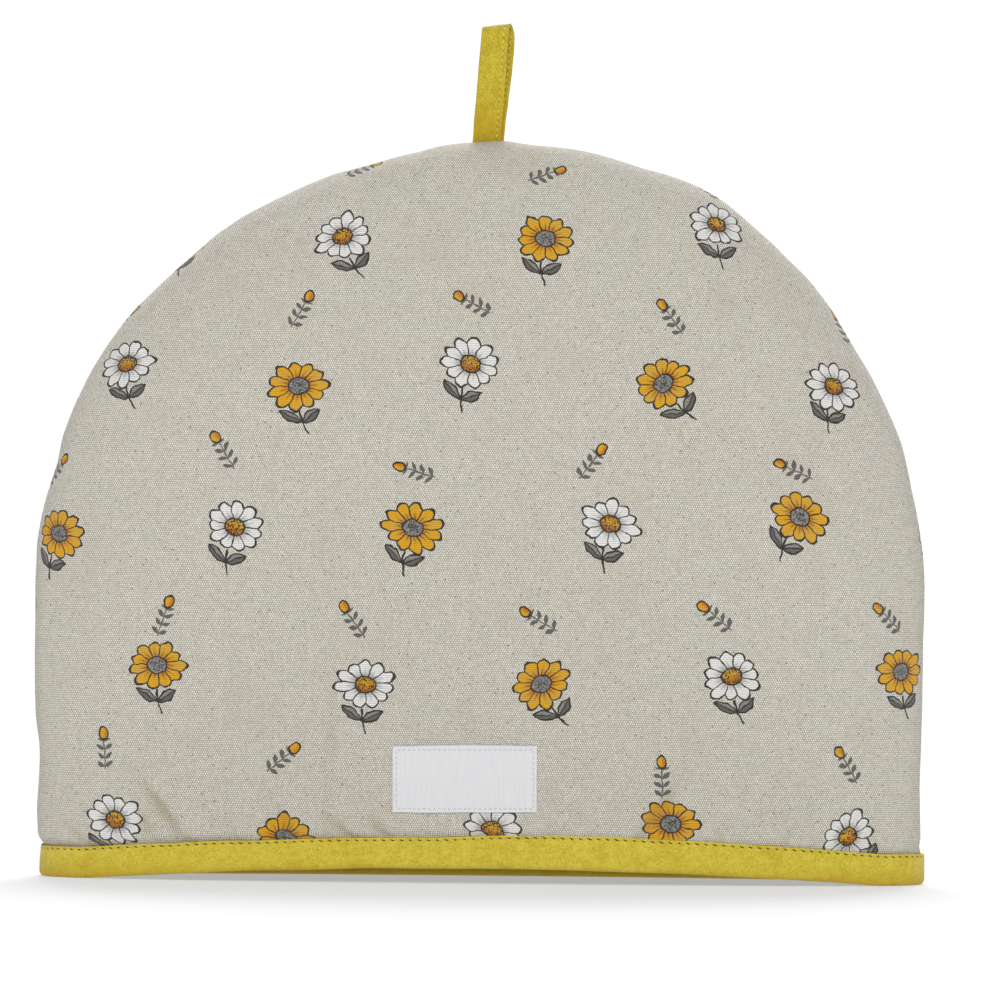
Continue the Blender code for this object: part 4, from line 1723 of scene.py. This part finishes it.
    def pull_in(self, along: Array, height: Array, at_hole: Array) -> Array:
        """How far the stitching and the turn of the cloth draw the tape's outer leg in."""
        off = height - self.height + self.stitch_drop
        groove = hump(off, self.groove_width) * (self.groove + self.hole * at_hole)
        run, rise = self.drag_size
        drag = self.drag * self.noise.at((along + self.drag_lean * height) / run, height / rise)
        middle, reach = self.slack_at
        slack = self.slack * bell(height - middle, reach)
        slack = slack * (0.6 + 0.8 * self.noise.at(along / self.slack_length + 9.0))
        return groove + drag * blend(height, *self.drag_from) - slack

    def build(self) -> list[bpy.types.Object]:
        """Build the binding and its topstitching in the place of its solid.

        Returns:
            The binding and its stitches.
        """
        section = self.section()
        share, sign, along = self.ring()
        last = len(share) - 1
        stitches = self.sew(share, sign, along)
        cloth = ClothGrid("hem_binding_tape", last, len(section) - 1)
        station, corner = cloth.column, cloth.row
        inset, height = section[corner, 0], section[corner, 1]
        at_hole = (station % self.steps_a_stitch == 0).astype(float)
        run = np.where(station == last, 0.0, along[station])
        middle = (self.outside + self.inside) / 2
        outer = blend(middle - inset, 0.0, 1.0 * MM)
        inner = 1.0 - outer
        pull = self.pull_in(run, height, at_hole)
        inset = inset + outer * pull - inner * pull * self.inner_pull
        share, sign = share[station], sign[station]
        wander = self.drift(share, sign, run, height, inner)
        puckered = self.hole_draw * at_hole * blend(height, self.height * 0.5, self.height)
        points = self.place(share, sign, inset, height + wander - puckered)
        cloth.place(points)
        width = lengths_along(section)
        cloth.lay(station * (self.stitch_pitch / self.steps_a_stitch), width[corner])
        cloth.edit("remove_doubles", threshold=0.02 * MM)
        cloth.thicken(self.ply)
        cloth.dress(self.tape.sewn(self.stitch_pitch / MM, self.stitch_lines()).material())
        binding = cloth.join("hem_binding")
        LOG.info("binding tape cut %.1f mm wide and %.0f mm long", width[-1] / MM, along[-1] / MM)
        return [binding, stitches]

    def sew(self, share: Array, sign: Array, along: Array) -> bpy.types.Object:
        """Sew the binding down on its outer and inner side.

        Args:
            share: Each station's share across the mouth.
            sign: Sign of each station's Y.
            along: Each station's length round the mouth.

        Returns:
            The stitches.
        """
        every = slice(None, None, self.steps_a_stitch)
        share, sign, along = share[every], sign[every], along[every]
        level = self.height - self.stitch_drop
        runs = []
        for face, way in ((self.outside - self.ply / 2, -1.0), (self.inside + self.ply / 2, 1.0)):
            line = level + self.drift(share, sign, along, level, (way + 1.0) / 2)
            sunk = face - way * (self.groove + self.sink)
            runs.append(StitchRow.run(lambda out: self.place(share, sign, out, line), sunk, way))
        finish = SewingThread("mustard_thread", seen(232, 214, 90), seen(206, 184, 56))
        return StitchRow().sew("hem_topstitching", "mustard_tape", runs, finish)


@dataclass
class HangingLoop:
    """The loop of folded tape that is caught in the seam at the top."""

    form: CosyForm
    tape: CottonTape
    top_z: float = 327.6 * MM
    width: float = 10.5 * MM
    narrowing: float = 0.025
    lean: float = 3.0 * MM
    tilt: float = 0.67 * MM
    foot_skew: float = 1.27 * MM
    top_skew: float = 1.2 * MM
    thickness: float = 1.2 * MM
    ply: float = 0.54 * MM
    foot: float = 6.0 * MM
    foot_half_gap: float = 0.75 * MM
    eye_half_gap: float = 3.95 * MM
    opens: float = 2.0 * MM
    open_at: float = 27.0 * MM
    stitch_inset: float = 1.75 * MM
    stitch_pitch: float = 2.4 * MM
    first_hole: float = 0.6 * MM
    groove: float = 0.05 * MM
    groove_width: float = 0.6 * MM
    hole: float = 0.09 * MM
    sink: float = 0.05 * MM
    ripple: float = 0.10 * MM
    edge_wave: float = 0.10 * MM
    fold_share: float = 0.93
    face_points: int = 25
    leg_steps: int = 96
    turn_steps: int = 28
    noise: Unevenness = field(default_factory=lambda: Unevenness(71))

    def path(self) -> Array:
        """The loop's middle line.

        Returns:
            Rows of Y and height over the top seam: up the front leg, over, and down the back.
        """
        turn_z = self.top_z - self.form.top_z - self.thickness / 2 - self.eye_half_gap
        height = np.linspace(-self.foot, turn_z, self.leg_steps + 1)[:-1]
        widening = self.eye_half_gap - self.foot_half_gap
        apart = self.foot_half_gap + widening * blend(height, self.opens, self.open_at)
        angle = np.linspace(0.0, math.pi, self.turn_steps + 1)
        turn = np.stack([-np.cos(angle), np.sin(angle)], axis=1) * self.eye_half_gap
        turn[:, 1] += turn_z
        front = np.stack([-apart, height], axis=1)
        back = np.stack([apart, height], axis=1)[::-1]
        return np.concatenate([front, turn, back])

    def section(self) -> Array:
        """The folded tape's middle line across its width.

        Returns:
            Rows of the share across the width and the distance out of the loop: the outer ply from its free
            edge to the fold, and the inner ply back.
        """
        apart = (self.thickness - self.ply) / 2
        across = np.linspace(1.0, -self.fold_share, self.face_points)
        fold = np.radians(np.linspace(90.0, 270.0, 7)[1:-1])
        fold_x = (1.0 - self.fold_share) * np.cos(fold) - self.fold_share
        face = np.full(self.face_points, apart)
        shares = np.concatenate([across, fold_x, across[::-1]])
        return np.stack([shares, np.concatenate([face, apart * np.sin(fold), -face])], axis=1)

    def place(self, step: Array, share: Array, out: Array) -> Array:
        """Put points on the loop.

        Args:
            step: Place along the path, counted in its steps.
            share: Share across the width, 1 on the stitched edge.
            out: Distance out of the loop.

        Returns:
            The points.
        """
        path = self.path()
        tangent = np.gradient(path, axis=0)
        tangent /= np.linalg.norm(tangent, axis=1)[:, None]
        index = np.arange(len(path))
        y, height = (np.interp(step, index, path[:, axis]) for axis in (0, 1))
        out_y = np.interp(step, index, -tangent[:, 1])
        out_z = np.interp(step, index, tangent[:, 0])
        up = np.maximum(height, 0.0) / (self.top_z - self.form.top_z)
        half_width = self.width / 2 * (1.0 - self.narrowing * up)
        half_width = half_width + self.edge_wave * self.noise.at(step / 9.0, np.sign(share) * 2.0)
        turned = (step - self.leg_steps) / self.turn_steps
        behind = blend(turned, 0.3, 1.1)
        skew = behind * (self.foot_skew + self.top_skew * blend(up, 0.0, 0.75))
        x = self.form.loop_x + share * half_width + self.lean * up + skew
        z = self.form.top_z + height + out * out_z + self.tilt * share * blend(up, 0.35, 1.0)
        return np.stack([x, y + out * out_y, z], axis=-1)

    def build(self) -> list[bpy.types.Object]:
        """Build the loop and its edge stitching in the place of its solid.

        Returns:
            The loop and its stitches.
        """
        section, path = self.section(), self.path()
        length = lengths_along(path)
        cloth = ClothGrid("hanging_loop_tape", len(section) - 1, len(path) - 1)
        share, out = section[cloth.column, 0], section[cloth.column, 1]
        step = cloth.row.astype(float)
        from_edge = (1.0 - share) * self.width / 2
        hole = 0.5 + 0.5 * np.cos(2 * math.pi * length[cloth.row] / self.stitch_pitch)
        pinch = hump(from_edge - self.stitch_inset, self.groove_width) * (self.groove + self.hole * hole)
        ripple = self.ripple * np.sin(math.pi * (1 + share) / 2)
        ripple = ripple * self.noise.at(step / 7.0, share * 1.6 + 5.0)
        points = self.place(step, share, out - np.sign(out) * pinch + ripple)
        cloth.place(points)
        width = lengths_along(section * np.array([self.width / 2, 1.0]))
        cloth.lay(length[cloth.row] - self.foot - self.first_hole, width[cloth.column])
        cloth.thicken(self.ply)
        lines = (self.stitch_inset / MM, (width[-1] - self.stitch_inset) / MM)
        cloth.dress(self.tape.sewn(self.stitch_pitch / MM, lines).material())
        loop = cloth.join("hanging_loop")
        stitches = self.sew(length)
        LOG.info("loop tape cut %.1f mm wide and %.0f mm long", width[-1] / MM, length[-1] / MM)
        return [loop, stitches]

    def sew(self, length: Array) -> bpy.types.Object:
        """Stitch the loop's free edges together, seen from outside and inside.

        Args:
            length: Length along the path out to each of its points.

        Returns:
            The stitches.
        """
        start, end = self.foot + self.first_hole, length[-1] - self.foot - self.first_hole
        holes_at = np.arange(start, end, self.stitch_pitch)
        step = np.interp(holes_at, length, np.arange(len(length)))
        share = 1.0 - 2 * self.stitch_inset / self.width
        runs = []
        for way in (1.0, -1.0):
            sunk = way * (self.thickness / 2 - self.sink)
            runs.append(StitchRow.run(lambda out: self.place(step, share, out), sunk, way))
        finish = SewingThread("loop_thread", seen(250, 236, 120), seen(232, 212, 80))
        row = StitchRow(thread=0.42 * MM, arch=0.12 * MM, dive=0.28 * MM)
        return row.sew("loop_stitching", "mustard_tape", runs, finish)


@dataclass
class SewnLabel:
    """The plain white ribbon label, sewn flat on the front all round its edge."""

    form: CosyForm
    ribbon: bpy.types.Material
    x: float = -4.9 * MM
    z: float = 39.6 * MM
    width: float = 54.6 * MM
    height: float = 25.0 * MM
    turn: float = 0.55
    ply: float = 0.5 * MM
    gap: float = 0.12 * MM
    stitch_inset: float = 1.35 * MM
    stitch_pitch: float = 1.95 * MM
    edge_wave: float = 0.16 * MM
    bow: float = 0.35 * MM
    groove: float = 0.08 * MM
    groove_width: float = 0.55 * MM
    sink: float = 0.05 * MM
    curl: float = 0.28 * MM
    curl_reach: float = 1.1 * MM
    puff: float = 0.26 * MM
    puff_in: tuple[float, float] = (1.6 * MM, 7.0 * MM)
    columns: int = 112
    rows: int = 52
    noise: Unevenness = field(default_factory=lambda: Unevenness(97))

    def place(self, across: Array, up: Array, out: Array) -> Array:
        """Put points on the label.

        Args:
            across: Distance to the right of its middle.
            up: Distance above its middle.
            out: Distance out from the label's back.

        Returns:
            The points.
        """
        turn = math.radians(self.turn)
        x = self.x + across * math.cos(turn) - up * math.sin(turn)
        z = self.z + across * math.sin(turn) + up * math.cos(turn)
        y = self.form.face_point(x, z, Facing.FRONT) - self.gap - out
        return np.stack([x, y, z], axis=-1)

    def build(self) -> list[bpy.types.Object]:
        """Build the label and its stitching in the place of its solid.

        Returns:
            The label and its stitches.
        """
        cloth = ClothGrid("label_ribbon", self.columns, self.rows)
        right = 2.0 * cloth.column / self.columns - 1.0
        up = 2.0 * cloth.row / self.rows - 1.0
        across = right * self.width / 2
        rise = up * self.height / 2
        noise = self.noise
        wave = self.edge_wave * noise.at(across / (8.0 * MM), np.sign(rise) * 3.0) * np.abs(up) ** 6
        sway = noise.at(rise / (9.0 * MM), np.sign(right) * 3.0 + 9.0)
        sway = self.edge_wave / 2 * sway * np.abs(right) ** 6
        bow = self.bow * (1.0 - right**2) * np.maximum(up, 0.0)
        inward = np.minimum(self.width / 2 - np.abs(across), self.height / 2 - np.abs(rise))
        groove = self.groove * hump(inward - self.stitch_inset, self.groove_width)
        curled = 0.6 + 0.6 * noise.at(across / (5.0 * MM), rise / (5.0 * MM))
        curl = self.curl * (1.0 - blend(inward, 0.0, self.curl_reach)) * curled
        puffed = 0.7 + 0.5 * noise.at(across / (13.0 * MM), rise / (9.0 * MM))
        puff = self.puff * blend(inward, *self.puff_in) * puffed
        points = self.place(across + sway, rise + wave + bow, self.ply / 2 + puff + curl - groove)
        cloth.place(points)
        cloth.lay(across, rise)
        cloth.thicken(self.ply)
        cloth.dress(self.ribbon)
        label = cloth.join("label")
        stitches = self.sew()
        return [label, stitches]

    def sew(self) -> bpy.types.Object:
        """Stitch the label down all round.

        Returns:
            The stitches.
        """
        half_width = self.width / 2 - self.stitch_inset
        half_height = self.height / 2 - self.stitch_inset
        corners = np.array([(-1, -1), (1, -1), (1, 1), (-1, 1), (-1, -1)]) * (half_width, half_height)
        runs = []
        for start, end in zip(corners[:-1], corners[1:]):
            count = round(np.linalg.norm(end - start) / self.stitch_pitch)
            share = np.linspace(0.0, 1.0, count + 1)[:, None]
            line = start + (end - start) * share
            runs.append(StitchRow.run(lambda out: self.place(*line.T, out), self.ply - self.sink))
        finish = SewingThread("white_thread", seen(238, 236, 232), seen(198, 196, 190))
        row = StitchRow(thread=0.34 * MM, arch=0.10 * MM, dive=0.28 * MM)
        return row.sew("label_stitching", "white_ribbon", runs, finish)


@dataclass(frozen=True)
class Lamp:
    """A soft light, far off."""

    name: str
    elevation: float  # degrees, as are the sizes below
    azimuth: float  # 0 in front of the cosy, and 180 behind it
    softness: float
    strength: float  # what it adds to a white surface that faces it


LAMPS = (
    Lamp("key", 28.0, 2.0, 26.0, 0.44),
    Lamp("back_low", 38.0, 178.0, 22.0, 0.43),
    Lamp("back_middle", 52.0, 178.0, 20.0, 0.42),
    Lamp("back_high", 68.0, 178.0, 20.0, 0.10),
)


@dataclass
class Studio:
    """A plain pale floor, soft light, and the camera at the photograph's view."""

    camera_place: tuple[float, float, float] = (0.0074, -4.0, 0.1456)
    focal_length: float = 375.7
    roll: float = 0.58
    floor_size: float = 60.0
    floor_light: float = 0.5
    floor_glow: float = 0.40
    room_light: float = 0.38
    backdrop_light: float = 1.05

    def lay_floor(self) -> None:
        """Lay the pale floor, a light table that glows a little."""
        bpy.ops.object.select_all(action="DESELECT")
        bpy.ops.mesh.primitive_plane_add(size=self.floor_size)
        floor = bpy.context.object
        floor.name = "studio_floor"
        graph = Graph("pale_floor", 0.9, specular=0.0)
        graph.shader.inputs["Base Color"].default_value = (self.floor_light,) * 3 + (1.0,)
        graph.shader.inputs["Emission Color"].default_value = (1.0, 1.0, 1.0, 1.0)
        graph.shader.inputs["Emission Strength"].default_value = self.floor_glow
        floor.data.materials.append(graph.material)

    def hang_lights(self) -> None:
        """Hang the soft lights, which reach everywhere alike."""
        for lamp in LAMPS:
            data = bpy.data.lights.new(lamp.name, "SUN")
            data.energy = lamp.strength * math.pi
            data.angle = math.radians(lamp.softness)
            hung = bpy.data.objects.new(lamp.name, data)
            hung.rotation_euler = (math.radians(90.0 - lamp.elevation), 0.0, math.radians(lamp.azimuth))
            bpy.context.scene.collection.objects.link(hung)

    def fill_round(self) -> None:
        """Fill the room with even light, and keep what is behind the floor white."""
        world = bpy.data.worlds.new("studio")
        world.use_nodes = True
        tree = world.node_tree
        fill = tree.nodes["Background"]
        fill.inputs["Color"].default_value = (1.0, 1.0, 1.0, 1.0)
        fill.inputs["Strength"].default_value = self.room_light
        behind = tree.nodes.new("ShaderNodeBackground")
        behind.inputs["Color"].default_value = (1.0, 1.0, 1.0, 1.0)
        behind.inputs["Strength"].default_value = self.backdrop_light
        path = tree.nodes.new("ShaderNodeLightPath")
        chosen = tree.nodes.new("ShaderNodeMixShader")
        sources = (path.outputs["Is Camera Ray"], fill.outputs[0], behind.outputs[0])
        for source, socket in zip(sources, chosen.inputs):
            tree.links.new(source, socket)
        tree.links.new(chosen.outputs[0], tree.nodes["World Output"].inputs["Surface"])
        bpy.context.scene.world = world

    def set_camera(self) -> None:
        """Stand the camera level in front of the cosy, rolled as in the photograph."""
        data = bpy.data.cameras.new("camera")
        data.lens = self.focal_length
        data.clip_end = 100.0
        camera = bpy.data.objects.new("camera", data)
        camera.location = self.camera_place
        camera.rotation_euler = (math.radians(90.0), math.radians(-self.roll), 0.0)
        bpy.context.scene.collection.objects.link(camera)
        bpy.context.scene.camera = camera

    def build(self) -> None:
        """Set the whole studio up."""
        self.lay_floor()
        self.hang_lights()
        self.fill_round()
        self.set_camera()
        bpy.context.scene.view_settings.view_transform = "Standard"


def main() -> None:
    """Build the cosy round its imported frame."""
    logging.basicConfig(level=logging.INFO, format="%(name)s: %(message)s")
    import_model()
    form = CosyForm()
    canvas = PrintedCanvas().material()
    cotton = PlainCotton().material()
    tape = CottonTape()
    PaddedPanel("front_panel_cloth", form, Facing.FRONT, canvas, cotton).build()
    PaddedPanel(
        "back_panel_cloth", form, Facing.BACK, canvas, cotton, print_shift=(0.413, 0.137), slack=0.012
    ).build()
    HemBinding(form, tape).build()
    loop_tape = replace(
        tape,
        name="loop_tape",
        light=seen(218, 200, 66),
        dark=seen(170, 145, 22),
        # Fainter painted shade in its needle holes, and painted shade low down where it goes into the seam.
        hole_shade=0.3,
        shade_heights=(304.0, 284.0),
    )
    HangingLoop(form, loop_tape).build()
    SewnLabel(form, RibbedRibbon().material()).build()
    Studio().build()


if __name__ == "__main__":
    main()
